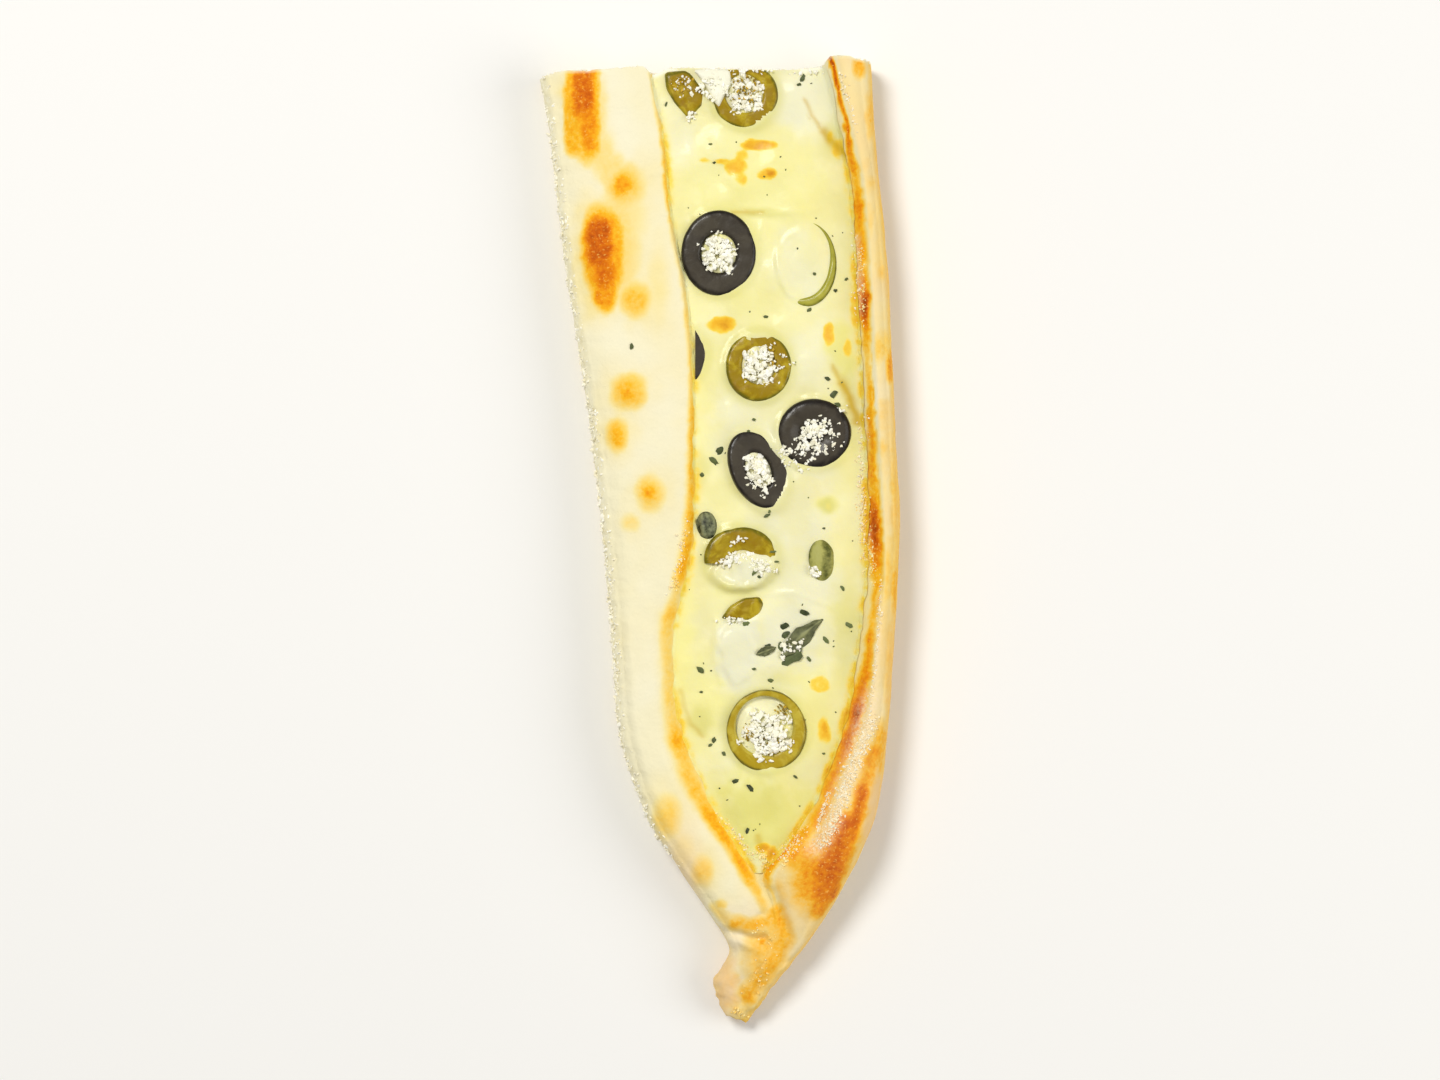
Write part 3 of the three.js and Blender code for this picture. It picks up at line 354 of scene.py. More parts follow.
GREEN = [
    (25.6, 8.3, 1.8, 1.7, 0.8, 0.7), (27.6, 95.4, 3.6, 4.4, 0.5, 0.7), (28.6, 46, 3.2, 6.6, 0.34, 0.6),
    (8.8, -66, 12, 9, 0.6, 0.7), (31, 80, 3, 30, 0.2, 0.8), (30.6, 37, 2, 8, 0.5, 0.6),
    (30, -22, 3, 12, 0.4, 0.7), (14, -56, 12, 6, 0.3, 0.8), (-4.6, -43, 2.6, 3.6, 0.5, 0.6),
    (9.2, -71, 1.6, 2.6, 0.6, 0.5), (-5, 17, 2, 4, 0.5, 0.7), (1, 90.4, 1.8, 0.8, 0.7, 0.6),
    (8.4, 78.2, 7, 1.2, 0.5, 0.6), (25, -22, 4, 4, 0.24, 0.8), (12.6, -34, 6, 2.4, 0.3, 0.8),
]
WHITE = [
    (22.4, 16, 4.4, 1.4, 1, 0.5), (14.8, 11, 1.6, 4.4, 0.8, 0.5), (-1, 108, 4.6, 5.4, 1, 0.3),
    (18, 105, 9, 8, 0.8, 0.6), (4.2, -26.4, 4.8, 8.6, 1, 0.34, 2.6), (17.5, -22.6, 8.6, 7.4, 0.9, 0.5),
    (20, -10, 9, 6, 0.7, 0.6), (17, 6, 8, 8, 0.8, 0.6), (3, 30, 5, 9, 0.6, 0.7),
    (20, 66, 6.4, 9, 0.6, 0.4), (22, 42, 5, 7, 0.5, 0.7), (-9.6, 98, 3, 8, 0.5, 0.7),
    (14.6, -37, 5, 3, 0.5, 0.7), (5.6, -8, 7, 4, 1, 0.4), (16, 20, 6, 8, 0.7, 0.6),
]
STAINS = [
    ([(27, 41.4), (29.4, 37)], 0.6, 0.7), ([(29.2, 37.6), (31.4, 33), (33, 28.2)], 0.9, 1.2),
    ([(20.4, 105), (22.6, 100.6), (25, 96.8)], 0.5, 0.5),
    ([(24.8, 97.6), (27.4, 94.2), (30.6, 91.6)], 0.8, 1.15), ([(3, 78.4), (10, 78.2)], 0.5, 0.5),
    ([(20.6, 105), (21.4, 100.6)], 0.3, 0.3), ([(-9.4, -36), (-7.4, -44), (-4.4, -46.6)], 0.35, 0.7),
    ([(9, -70.6), (9.6, -73.6)], 0.5, 0.9),
]
# Where small toppings lie, so that the cheese doesn't cover them: x, y, radii x, y, turn
CLEARINGS = [
    (22.5, 25.4, 7, 6.6, 0), (-8.3, 107.2, 6.4, 4.2, -48), (5.8, -16.4, 5.4, 2.3, 8),
    (-3.1, 3.5, 2.4, 3.4, 12), (24.3, -4.8, 3, 5.2, 4), (19.4, -24, 6.6, 1.6, 44),
    (11, -26.5, 2.8, 1.2, 21), (27.4, 66, 1.4, 6, 0), (24.2, 57.6, 1.2, 3.6, 128),
    (24.6, 73.8, 1, 2.4, 40),
]
# Middle and radii of a slice under the cheese, of the lobe over the half slice and of the mound by the leaves
SUNKEN_SLICE = ((19.6, 66), (7, 9.6))
SLANTED_LOBE = ((5.6, -7.4), (8.3, 5.2))
LEAF_MOUND = ((4.4, -27), (5.4, 8))
# The edge of the melted cheese above the black ring
TIDE_Y = 78.2


def section(s):
    """The measures of the cross-section at each place along the bread."""
    ragged = 0.3 * np.sin(s * 1.7) * np.sin(s * 0.61 + 1) * smoothstep(s, -80, -50)
    left, right, lip, rim = left_side(s) + ragged, right_side(s), flap_edge(s), rim_edge(s)
    widest = BULGE_SHARE_OF_WIDTH * (right - left)
    middle = (lip + flap_bevel(s) + rim - rim_bevel(s)) / 2
    half_crease = np.minimum(CREASE_WIDTH, CREASE_SHARE_OF_WIDTH * (right - left)) / 2
    return SimpleNamespace(
        left=left, right=right, lip=lip, rim=rim, ragged=ragged,
        fill_left=np.minimum(lip + flap_bevel(s), middle - half_crease),
        fill_right=np.maximum(rim - rim_bevel(s), middle + half_crease),
        left_bulge=np.minimum(LEFT_BULGE, widest),
        right_bulge=np.minimum(np.clip(RIGHT_BULGE_SHARE * (right - rim), *RIGHT_BULGE_RANGE), widest),
        flap_top=flap_height(s), rim_top=rim_height(s), valley=valley_height(s), floor=floor_height(s),
        lift=tip_lift(s), wall_left=left + left_wall_width(s))


def pocket_of(e, gap=0):
    """Left, right, floor and both ceilings of the pocket, or of the filling with a gap round it."""
    under_flap = np.minimum(e.flap_top - FLAP_THICKNESS, e.valley - FLAP_OVER_VALLEY)
    left = np.minimum(e.wall_left, e.fill_left - LEAST_UNDER_FLAP) + gap
    left_ceiling = np.maximum(under_flap, e.floor + LEAST_POCKET_LEFT) - gap
    right_ceiling = np.maximum(e.valley - UNDER_RIM_DEPTH, e.floor + LEAST_POCKET_RIGHT) - gap
    return left, e.fill_right + UNDER_RIM - gap, e.floor + gap, left_ceiling, right_ceiling


def warp_cut(x, s):
    """y of places on the cross-section at s, which follow the uneven cut near the cut end."""
    return s + smoothstep(s, CUT_WARP_START_Y, CUT_Y) * (cut_line(x) - CUT_Y)


def fine_relief(x, y):
    """Small unevenness of the dough's skin, stronger where it has blistered."""
    blistered = np.clip(domes(x, y, BLISTERS), 0, 1)
    soft = 0.2 * rough(x, y, 9, 2) + 0.06 * rough(x, y, 2.6, 2, noise_b)
    on_bevel = np.exp(-((x - rim_edge(y) + 1) / 1.8) ** 2) * smoothstep(y, -84, -70)
    crumbly = 0.26 * on_bevel * rough(x, y, 1.9, 2) * (0.5 + 0.5 * noise_c(x * 0 + 3, y * 0.12))
    return soft + 0.14 * blistered * rough(x, y, 1.5, 2, noise_c) + crumbly


def crust_top(x, s, e):
    """Height of the dough at places between its left and right sides."""
    relief = domes(x, s, BLISTERS) - ridges(x, s, CREASES)
    start, end = e.left + e.left_bulge, e.right - e.right_bulge
    t = np.clip((x - start) / (e.lip - start), 0, 1)
    shoulder = FLAP_SHOULDER_DROP * (1 - np.minimum(t / FLAP_SHOULDER_SHARE, 1)) ** 2
    lip_drop = FLAP_LIP_DROP * smoothstep(t, FLAP_LIP_START, 1)
    flap = e.flap_top - FLAP_CROWN * (2 * t - 1) ** 2 - shoulder - lip_drop + relief
    v = np.clip((x - e.rim) / (end - e.rim), 0, 1)
    inner = RIM_INNER_DROP * (1 - np.minimum(v / RIM_CREST, 1)) ** 2
    outer = RIM_OUTER_DROP * np.maximum((v - RIM_CREST) / (1 - RIM_CREST), 0) ** 2

    def bevel(lip, foot, lip_z):
        away = np.clip((x - lip) / (foot - lip), 0, 1)
        return e.valley + (lip_z - e.valley) * (1 - away ** BEVEL_ROUNDNESS) + relief * (1 - away)

    z = np.select([x <= e.lip, x < e.fill_left, x <= e.fill_right, x < e.rim], [
        flap, bevel(e.lip, e.fill_left, e.flap_top - FLAP_LIP_DROP - FLAP_CROWN), e.valley + 0 * x,
        bevel(e.rim, e.fill_right, e.rim_top - RIM_INNER_DROP)], e.rim_top - inner - outer + relief)
    # the two sides are pressed together into one at the tip
    across = 2 * np.clip((x - e.left) / (e.right - e.left), 0, 1) - 1
    pressed = np.maximum(e.flap_top, e.rim_top) - 0.5 - 1.1 * across ** 4 + relief
    return z + smoothstep(-s, 90, 101) * (pressed - z)


def hollow_across(x, e):
    """0 at both edges of the filling and 1 in its middle."""
    across = np.clip((x - e.fill_left) / (e.fill_right - e.fill_left), 0, 1)
    return 4 * across * (1 - across)


def filling_top(x, s, e):
    middle = hollow_across(x, e)
    ripple = 0.22 * (np.sin(x * 0.55 + s * 0.21) + np.sin(x * 0.31 - s * 0.47 + 2))
    return e.valley + FILLING_CROWN * middle + (domes(x, s, MOUNDS) + ripple) * np.sqrt(middle)


def filling_at(x, y):
    return filling_top(x, y, section(y))


def cheese_relief(x, s, e):
    """Soft lumps, the lines of melted cheese and the collars round the slices."""
    total = 0.12 * rough(x, s, 5.5, 2, noise_b) + 0.035 * rough(x, s, 1.4, 2, noise_c)
    for _, at, radii, turn, _, hole, _ in RINGS:
        mean = sum(radii) / 2
        edge = oval(x, s, at, radii, turn)
        away = (edge - 1) * mean
        total = total + 0.42 * np.exp(-(np.maximum(away, 0) / 0.9) ** 2) * (away > -1.6)
        total = total + 0.5 * smoothstep((hole - edge) * mean, -0.6, 1)
    sunk = oval(x, s, *SUNKEN_SLICE)
    total = total + 0.34 * smoothstep(1 - sunk, 0, 0.16) - 0.16 * smoothstep(0.62 - sunk, 0, 0.2)
    lobe = oval(x, s - 0.12 * (x - SLANTED_LOBE[0][0]), *SLANTED_LOBE)
    lobe = smoothstep(1.04 - lobe + 0.05 * rough(x, s, 2.2, 2), 0, 0.3)
    total = total + (1.3 + 0.16 * rough(x, s, 1.6, 2, noise_c)) * lobe
    mound = oval(x, s, *LEAF_MOUND)
    total = total + 0.5 * smoothstep(1 - mound + 0.14 * rough(x, s, 4, 2, noise_b), 0, 0.3)
    total = total + ridges(x, s, MELT_LINES)
    tide = s - TIDE_Y - 0.05 * (x - 8) - 0.5 * noise_b(x * 0.3, s * 0)
    total = total + 0.3 * np.exp(-(tide / 0.9) ** 2) * smoothstep(x, -6, 0) * (1 - smoothstep(x, 20, 28))
    for cx, cy, rx, ry, turn in CLEARINGS:
        clear = 1 - smoothstep(oval(x, s, (cx, cy), (rx, ry), turn), 0.92, 1.35)
        total = total + (np.minimum(total, -0.12) - total) * clear
    return total * np.sqrt(hollow_across(x, e))


def olive_tint(x, y):
    """Olive oil that has run into the cheese round the slices."""
    total = np.zeros(np.shape(x))
    for name, at, radii, turn, _, _, _ in RINGS:
        away = np.abs(oval(x, y, at, radii, turn) - 1) * sum(radii) / 2
        strength = 0.55 if name.startswith("green") else 0.35
        total = np.maximum(total, strength * np.exp(-(away / 1.6) ** 2))
    return total


def surface_at(x, y):
    """Height of the bread's top, dough or filling."""
    e = section(y)
    on_filling = (x > e.fill_left) & (x < e.fill_right) & (y > POCKET_END_Y)
    dough_top = crust_top(x, y, e) + fine_relief(x, y)
    return np.where(on_filling, filling_top(x, y, e) + cheese_relief(x, y, e), dough_top)


# Mesh making
def stacked(x, y, z):
    return np.stack(np.broadcast_arrays(x, y, z), -1).reshape(-1, 3)


def grid_faces(index, closed=False):
    """Quads over a table of point numbers; closed joins the last column to the first."""
    if closed:
        index = np.concatenate([index, index[:, :1]], axis=1)
    a, b, c, d = index[:-1, :-1], index[:-1, 1:], index[1:, 1:], index[1:, :-1]
    return np.stack([a, b, c, d], axis=-1).reshape(-1, 4)


def tube(rows, columns, start=0, winding=-1):
    """Quads round a closed skin of points, and a face over each of its ends."""
    index = start + np.arange(rows * columns).reshape(rows, columns)
    return [grid_faces(index, closed=True), index[0][::winding], index[-1][::-winding]]


def smooth(mesh, sharp_degrees=None):
    mesh.shade_smooth()
    if sharp_degrees:
        mesh.set_sharp_from_angle(angle=math.radians(sharp_degrees))


def new_object(name, points, faces, sharp_degrees=None, **values):
    """A smooth object from points in millimetres, groups of faces and values at the points."""
    mesh = bpy.data.meshes.new(name)
    faces = [face for group in faces for face in np.atleast_2d(group).tolist()]
    mesh.from_pydata((points * MM).tolist(), [], faces)
    for key, data in values.items():
        layer = mesh.attributes.new(key, "FLOAT", "POINT")
        layer.data.foreach_set("value", np.asarray(data, np.float32).reshape(-1))
    mesh.update()
    smooth(mesh, sharp_degrees)
    piece = bpy.data.objects.new(name, mesh)
    bpy.context.scene.collection.objects.link(piece)
    return piece


def rework(piece, sharp_degrees=None, join=None, chosen=None, keep=None):
    """Joins points closer than join, keeps one side of a plane and turns the faces outward."""
    bm = bmesh.new()
    bm.from_mesh(piece.data)
    bm.verts.ensure_lookup_table()
    if chosen is not None:
        bmesh.ops.remove_doubles(bm, verts=[bm.verts[number] for number in chosen], dist=join * MM)
    elif join:
        bmesh.ops.remove_doubles(bm, verts=bm.verts, dist=join * MM)
        bmesh.ops.dissolve_degenerate(bm, edges=bm.edges, dist=join * MM / 2)
    if keep:
        bmesh.ops.bisect_plane(
            bm, geom=bm.verts[:] + bm.edges[:] + bm.faces[:], dist=1e-7, plane_co=Vector(keep[0]) * MM,
            plane_no=keep[1], clear_inner=True)
        bmesh.ops.holes_fill(bm, edges=[edge for edge in bm.edges if edge.is_boundary], sides=0)
    bmesh.ops.delete(bm, geom=[vert for vert in bm.verts if not vert.link_faces], context="VERTS")
    bmesh.ops.recalc_face_normals(bm, faces=bm.faces)
    bm.to_mesh(piece.data)
    bm.free()
    if sharp_degrees:
        smooth(piece.data, sharp_degrees)
    return piece


def settle(piece, node, look):
    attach(piece, "root")
    if node:
        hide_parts(node)
    piece.data.materials.append(look)


def run(start, end, count):
    return start + (end - start) * (np.arange(count) / count)


def run_eased(start, end, count):
    """The same with its steps closer together at both ends."""
    return start + (end - start) * (1 - np.cos(math.pi * np.arange(count) / count)) / 2


# Cross-sections are arrays of complex numbers, x + z i, with a row for each place along the bread
def round_pocket(points, left, right, floor, left_ceiling, right_ceiling):
    """Moves points of the pocket so that its four corners are round."""
    x, z = points.real, points.imag
    for wall, ceiling, inward in ((left, left_ceiling, 1), (right, right_ceiling, -1)):
        radius = np.minimum(POCKET_ROUNDING, 0.45 * (ceiling - floor))
        for level, upward in ((floor, 1), (ceiling, -1)):
            a = np.clip(1 - (x - wall) * inward / radius, 0, 1)
            b = np.clip(1 - (z - level) * upward / radius, 0, 1)
            x = x + inward * radius * a * (1 - np.sqrt(1 - b * b / 2))
            z = z + upward * radius * b * (1 - np.sqrt(1 - a * a / 2))
    return x + 1j * z


def skin(top, bottom, layers):
    """Closed rings: along the top, down the right edge, back along the bottom, up the left edge."""
    k = np.arange(1, layers) / layers
    right = top[:, -1:] + (bottom - top)[:, -1:] * k
    left = bottom[:, :1] + (top - bottom)[:, :1] * k
    return np.concatenate([top, right, bottom[:, ::-1], left], axis=1)


def end_table(ring, columns, start):
    """Point numbers over an end of a skin, whose inner points are numbered from start."""
    inside = len(ring) // 2 - columns
    table = np.empty((columns, inside + 2), int)
    table[:, 0] = ring[:columns]
    table[-1, 1:-1] = ring[columns:columns + inside]
    table[:, -1] = ring[columns + inside:2 * columns + inside][::-1]
    table[0, 1:-1] = ring[2 * columns + inside:][::-1]
    table[1:-1, 1:-1] = start + np.arange((columns - 2) * inside).reshape(columns - 2, inside)
    return table


# Dough
BEVEL_COLUMNS = 8
FLAP_COLUMNS = 46
SIDE_COLUMNS = 22
BASE_COLUMNS = 24
RIM_COLUMNS = 18
ROW_LENGTH = 0.9
TIP_ROW_LENGTH = 0.55
LAYERS = 8
POCKET_ROUNDING = 2.4


def make_dough():
    s = np.concatenate([
        np.linspace(CUT_Y, POCKET_END_Y, round((CUT_Y - POCKET_END_Y) / ROW_LENGTH), endpoint=False),
        np.linspace(POCKET_END_Y, TIP_Y, round((POCKET_END_Y - TIP_Y) / TIP_ROW_LENGTH)),
    ])[:, None]
    e = section(s)
    start_left, start_right = e.left + e.left_bulge, e.right - e.right_bulge

    def top(x):
        return x + 1j * crust_top(x, s, e)

    def side(edge, bulge, x_shoulder, angles):
        shoulder = crust_top(x_shoulder, s, e)
        z = e.lift + (shoulder - e.lift) * (1 + np.sin(angles)) / 2
        return edge + bulge * (1 - np.cos(angles)) + 1j * z

    up = run(-math.pi / 2, math.pi / 2, SIDE_COLUMNS)[None]
    outer = np.concatenate([
        top(run(e.fill_left, e.lip, BEVEL_COLUMNS)),
        top(run(e.lip, start_left, FLAP_COLUMNS)),
        side(e.left, e.left_bulge, start_left, -up),
        run_eased(start_left, start_right, BASE_COLUMNS) + 1j * e.lift,
        side(e.right, -e.right_bulge, start_right, up),
        top(run(start_right, e.rim, RIM_COLUMNS)),
        top(run(e.rim, e.fill_right, BEVEL_COLUMNS)),
        top(e.fill_right),
    ], axis=1)
    columns = outer.shape[1]

    # Skin detail, which fades out where the dough meets the filling
    first_side = BEVEL_COLUMNS + FLAP_COLUMNS
    tops = np.zeros(columns)
    tops[1:first_side + 3] = 1
    tops[-(RIM_COLUMNS + BEVEL_COLUMNS + 4):-1] = 1
    outer.imag += tops * fine_relief(outer.real, s)
    left = outer[:, first_side:first_side + SIDE_COLUMNS]
    z = left.imag
    bite = rough(s + 0.3 * z, z - 0.2 * s, 1.7, 2, noise_b) + 0.8 * rough(s, z, 5, 2)
    left.real += 0.24 * np.maximum(bite, -0.8) * smoothstep(s, -96, -80)
    left.real -= e.ragged * (1 - smoothstep(z, 9, 14))
    right = outer[:, first_side + SIDE_COLUMNS + BASE_COLUMNS:][:, :SIDE_COLUMNS]
    right.real += 0.16 * rough(s * 0.6 + 0.3 * right.imag, right.imag * 0.8, 4, 3, noise_c) - 0.15
    twist = rough(outer.imag * 0.3, s + 0.2 * outer.real, 2.3, 2, noise_b)
    outer.real += 0.7 * twist * smoothstep(-s, 98, 106)

    # The pocket wall, paired with the outside column by column
    pocket = p_left, p_right, floor, left_ceiling, right_ceiling = pocket_of(e)
    under = 1j * (e.valley - LIP_DEPTH)
    corners = [
        (e.fill_left + under, BEVEL_COLUMNS + FLAP_COLUMNS), (p_left + 1j * left_ceiling, SIDE_COLUMNS),
        (p_left + 1j * floor, BASE_COLUMNS), (p_right + 1j * floor, SIDE_COLUMNS),
        (p_right + 1j * right_ceiling, RIM_COLUMNS + BEVEL_COLUMNS), (e.fill_right + under, 1),
    ]
    inner = [(run_eased if count == BASE_COLUMNS else run)(start, end, count)
             for (start, count), (end, _) in zip(corners, corners[1:] + corners[-1:])]
    inner = round_pocket(np.concatenate(inner, axis=1), *pocket)

    # Rows past the pocket's end are shut: what would be the pocket lies on the line between the lips
    ring = skin(outer, inner, LAYERS)
    width = ring.shape[1]
    shut = s[:, 0] < POCKET_END_Y + 0.01
    across = np.arange(1, width - columns + 1) / (width - columns + 1)
    ring[shut, columns:] = outer[shut, -1:] + (outer[shut, :1] - outer[shut, -1:]) * across
    x, z = ring.real, ring.imag
    torn_end = 0.34 * rough(x, z * 0.8, 1.3, 3, noise_c) - 0.16
    y = warp_cut(x, s) + torn_end * smoothstep(s, CUT_Y - 1.6, CUT_Y)
    y += 0.8 * rough(x, z * 0.7, 1.6, 2) * smoothstep(-s, 108, 114)

    # The cut face, layer by layer between the outside and the pocket, and the point of the tip
    k = np.arange(1, LAYERS) / LAYERS
    cap = (outer[0][:, None] + (inner - outer)[0][:, None] * k)[1:-1]
    cap.real += 0.1 * rough(cap.real, cap.imag, 1.1, 1, noise_b)
    pores = 0.5 * np.minimum(rough(cap.real, cap.imag, 1.5, 2), 0.25)
    pores -= 0.3 * np.clip(rough(cap.real, cap.imag * 1.6, 2.6, 1, noise_b), 0, 1)
    cap_y = warp_cut(cap.real, CUT_Y) + pores - 0.1
    points = np.concatenate([stacked(x, y, z), stacked(cap.real, cap_y, cap.imag)])
    index = np.arange(ring.size).reshape(ring.shape)
    hub = len(points)
    tip = points[index[-1, :columns]].mean(0) - (0, 0.25, 0)
    points = np.concatenate([points, [tip]])
    faces = [
        grid_faces(index, closed=True), grid_faces(end_table(index[0], columns, ring.size))[:, ::-1],
        np.stack([index[-1], np.roll(index[-1], -1), np.full(width, hub)], -1),
    ]

    on_cut = np.zeros(len(points))
    on_cut[ring.size:hub] = 1
    on_cut[index[0]] = 0.5
    inside = np.zeros(len(points))
    inside[index[~shut, columns:]] = 1
    along = np.concatenate([np.repeat(s[:, 0], width), np.full(cap.size, CUT_Y), [TIP_Y]])
    values = dough_values(points[:, 0], along, points[:, 2], on_cut, inside)
    piece = new_object("dough", points, faces, **values)
    rework(piece, join=0.03, chosen=index[shut, columns:].reshape(-1))
    return rework(piece, 62, join=0.001)


def dough_values(x, s, z, on_cut, inside):
    e = section(s)
    halo = spots(x, s, [(cx, cy, rx + 1.8, ry + 2, amount, 0.9) for cx, cy, rx, ry, amount, *_ in TOAST], 1)
    uneven, ragged = rough(x, s, 1.7, 3, noise_b), rough(x * 0.8, s * 0.9, 2.2)
    patchy, mottled = rough(x * 0.6, s, 6, 2, noise_c), rough(x * 0.8, s * 0.7, 4.5)
    baked = 0.5 + 0.5 * rough(s * 0.5, z * 1.3 + 20, 8, 3, noise_b)
    upper = smoothstep((z + 1.6 * rough(s * 0.6, z, 4, 2)) / e.flap_top, 0.6, 0.83)
    left_half = x < (e.fill_left + e.fill_right) / 2
    from_lip, from_rim = x - e.lip + 0.3 * uneven, e.rim - x + 0.4 * uneven
    on_bevels = np.where(left_half, smoothstep(from_lip, -0.3, 0.3), smoothstep(from_rim, -0.5, 0.3))
    left_band = np.exp(-(np.abs(from_lip - flap_band_place(s)) / flap_band_width(s)) ** 2.4)
    right_band = np.exp(-(np.abs(from_rim - rim_band_place(s)) / rim_band_width(s)) ** 2.6)
    band = np.where(left_half, left_band * flap_bevel_toast(s), right_band * rim_bevel_toast(s))
    # a thin darker line along the foot of the flap's bevel and along the rim's lip: browner dough there,
    # darkened further as painted shade of the crease
    crease_browning_and_shade = np.maximum(
        0.3 * np.exp(-((x - e.fill_left + 0.3) / 0.26) ** 2) * smoothstep(s, 30, 92),
        0.5 * np.exp(-((x - e.rim + 0.1) / 0.35) ** 2) * smoothstep(s, -76, -60))
    on_rim = smoothstep(x - e.rim, 0, 1.6)
    outside = np.maximum(smoothstep(x - e.right + 1.6, 0, 1.4), smoothstep(-s, 84, 96)) * (1 - upper)
    toast = np.maximum.reduce([
        upper * np.maximum.reduce([
            spots(x, s, TOAST), strokes(x, s, TOAST_LINES), 0.2 * halo, band * (1 + 0.3 * patchy),
            crease_browning_and_shade * np.clip(0.3 + 1.2 * ragged, 0, 1),
            (0.1 - 0.07 * smoothstep(s, 70, 95)) * on_bevels * smoothstep(s, -98, -90)]),
        0.3 * smoothstep(x - e.right + 2.4, 0, 2.2),
        (0.1 + 0.2 * np.clip(mottled, 0, 1)) * on_rim,
        smoothstep(-s, 96, 104) * (0.14 + 0.1 * rough(x, s, 1.8, 3, noise_c)),
        outside * (0.1 + 0.3 * np.clip(baked, 0, 1) ** 2),
        0.4 * np.clip(1 - z / (2.2 + 1.2 * uneven), 0, 1),
    ]) * (1 - inside * 0.9) * (1 - smoothstep(on_cut, 0.4, 1))
    base = (z < e.lift + 0.35) * (1 - on_cut)
    toast = np.maximum(toast, base * (0.34 + 0.18 * rough(x, s, 9, 3, noise_c)))
    torn = 0.85 * (1 - smoothstep(x - e.left + 0.3 * uneven, 0.5, 2))
    torn = torn * smoothstep(z, 2, 5) * smoothstep(s, -76, -52)
    rosy = np.maximum.reduce([spots(x, s, ROSY, 1), on_rim * (0.34 + 0.16 * patchy), 0.1 * halo * upper])
    return {
        "toast": np.clip(toast, 0, 1), "gloss": on_bevels * upper, "rosy": rosy * (1 - inside) * (1 - on_cut),
        "flour": strokes(x, s, FLOUR, 0.3, 2) * (1 - on_cut), "crumb": np.clip(on_cut + inside + torn, 0, 1),
    }


# Filling
FILLING_ROW_LENGTH = 0.56
FILLING_END_GAP = 0.08
FILLING_COLUMNS = 88
UNDER_FLAP_COLUMNS = 20
UNDER_RIM_COLUMNS = 4
FILLING_LAYERS = 9
FILLING_GAP = 0.12
FILLING_CLIMB = 0.7
FILM = 0.06
EDGE_DEPTH = 0.16
EDGE_STEP = 0.04


def make_filling():
    rows = round((CUT_Y - POCKET_END_Y) / FILLING_ROW_LENGTH)
    s = np.linspace(CUT_Y, POCKET_END_Y + FILLING_END_GAP, rows)[:, None]
    e = section(s)
    pocket = p_left, p_right, floor, left_ceiling, right_ceiling = pocket_of(e, FILLING_GAP)
    under = 1j * (e.valley - LIP_DEPTH - FILLING_GAP)
    left, right = e.fill_left - FILLING_GAP, e.fill_right + FILLING_GAP
    # the edges climb the bevels as a thin film
    climb = FILLING_CLIMB * smoothstep(CUT_Y - s, 0, 2) * smoothstep(s, POCKET_END_Y, POCKET_END_Y + 5)
    climb = climb * (1 + 0.6 * rough(s, s * 0, 3, 2, noise_c))
    share = np.arange(FILLING_COLUMNS + 1) / FILLING_COLUMNS
    x_base = left + (right - left) * share
    x = x_base + climb * (2 * share - 1)
    dough_top = crust_top(x, s, e) + ((x < e.fill_left) | (x > e.fill_right)) * fine_relief(x, s)
    z = np.maximum(filling_top(x, s, e) + cheese_relief(x, s, e), dough_top + FILM)
    z[:, [0, -1]] = dough_top[:, [0, -1]] - EDGE_DEPTH

    def with_sides(middle):
        left_edge, right_edge = left - EDGE_STEP + under, right + EDGE_STEP + under
        return np.concatenate([
            run(p_left + 1j * left_ceiling, left_edge, UNDER_FLAP_COLUMNS), left_edge, middle,
            right_edge, run(p_right + 1j * right_ceiling, right_edge, UNDER_RIM_COLUMNS)[:, ::-1]], axis=1)

    top = with_sides(x + 1j * z)
    bottom = with_sides(x_base).real + 1j * floor
    columns = top.shape[1]
    ring = round_pocket(skin(top, bottom, FILLING_LAYERS), *pocket)
    y = warp_cut(ring.real, s) - 0.25 * smoothstep(s, CUT_Y - 0.8, CUT_Y)
    index = np.arange(ring.size).reshape(ring.shape)
    points, faces = [stacked(ring.real, y, ring.imag)], [grid_faces(index, closed=True)]
    k = np.arange(1, FILLING_LAYERS) / FILLING_LAYERS
    for row in (0, -1):
        drop = (bottom - top)[row].imag
        cap = (top[row][:, None] + 1j * drop[:, None] * k)[1:-1]
        cap = round_pocket(cap, *(measure[row] for measure in pocket))
        y = warp_cut(cap.real, s[row, 0])
        if row == 0:
            y = y + 0.35 * rough(cap.real, cap.imag, 2.4, 3, noise_b) * np.sin(math.pi * k) ** 0.5 - 0.25
        quads = grid_faces(end_table(index[row], columns, sum(map(len, points))))
        points.append(stacked(cap.real, y, cap.imag))
        faces.append(quads if row else quads[:, ::-1])
    points = np.concatenate(points)
    x, y = points[:, 0], points[:, 1]
    e = section(y)
    from_left, from_right = np.maximum(x - e.fill_left, 0), np.maximum(e.fill_right - x, 0)
    browned = np.maximum(
        0.62 * flap_bevel_toast(y) * np.exp(-(from_left / 1.5) ** 1.4),
        0.55 * rim_bevel_toast(y) * np.exp(-(from_right / 1.3) ** 1.4) * (1 - smoothstep(y, 90, 99)))
    browned = browned * (1 + 0.6 * rough(x, y, 2.6))
    piece = new_object(
        "cheese", points, faces,
        toast=np.clip(np.maximum(spots(x, y, FILLING_TOAST, 0.5), browned), 0, 1),
        yellow=spots(x, y, YELLOW, 3),
        green=np.maximum(spots(x, y, GREEN, 2), olive_tint(x, y)),
        white=spots(x, y, WHITE, 2),
        stain=strokes(x, y, STAINS, 0.3, 2),
        cut=smoothstep(y - cut_line(x), -1.5, -0.6) * (points[:, 2] < 12))
    return rework(piece, 60, join=0.01)


# Toppings
SLICE_THICKNESS = 4
SLICE_SQUARENESS = 0.6
RING_POINTS = 120
WALL_POINTS = 44
RING_PROUD = 1.1
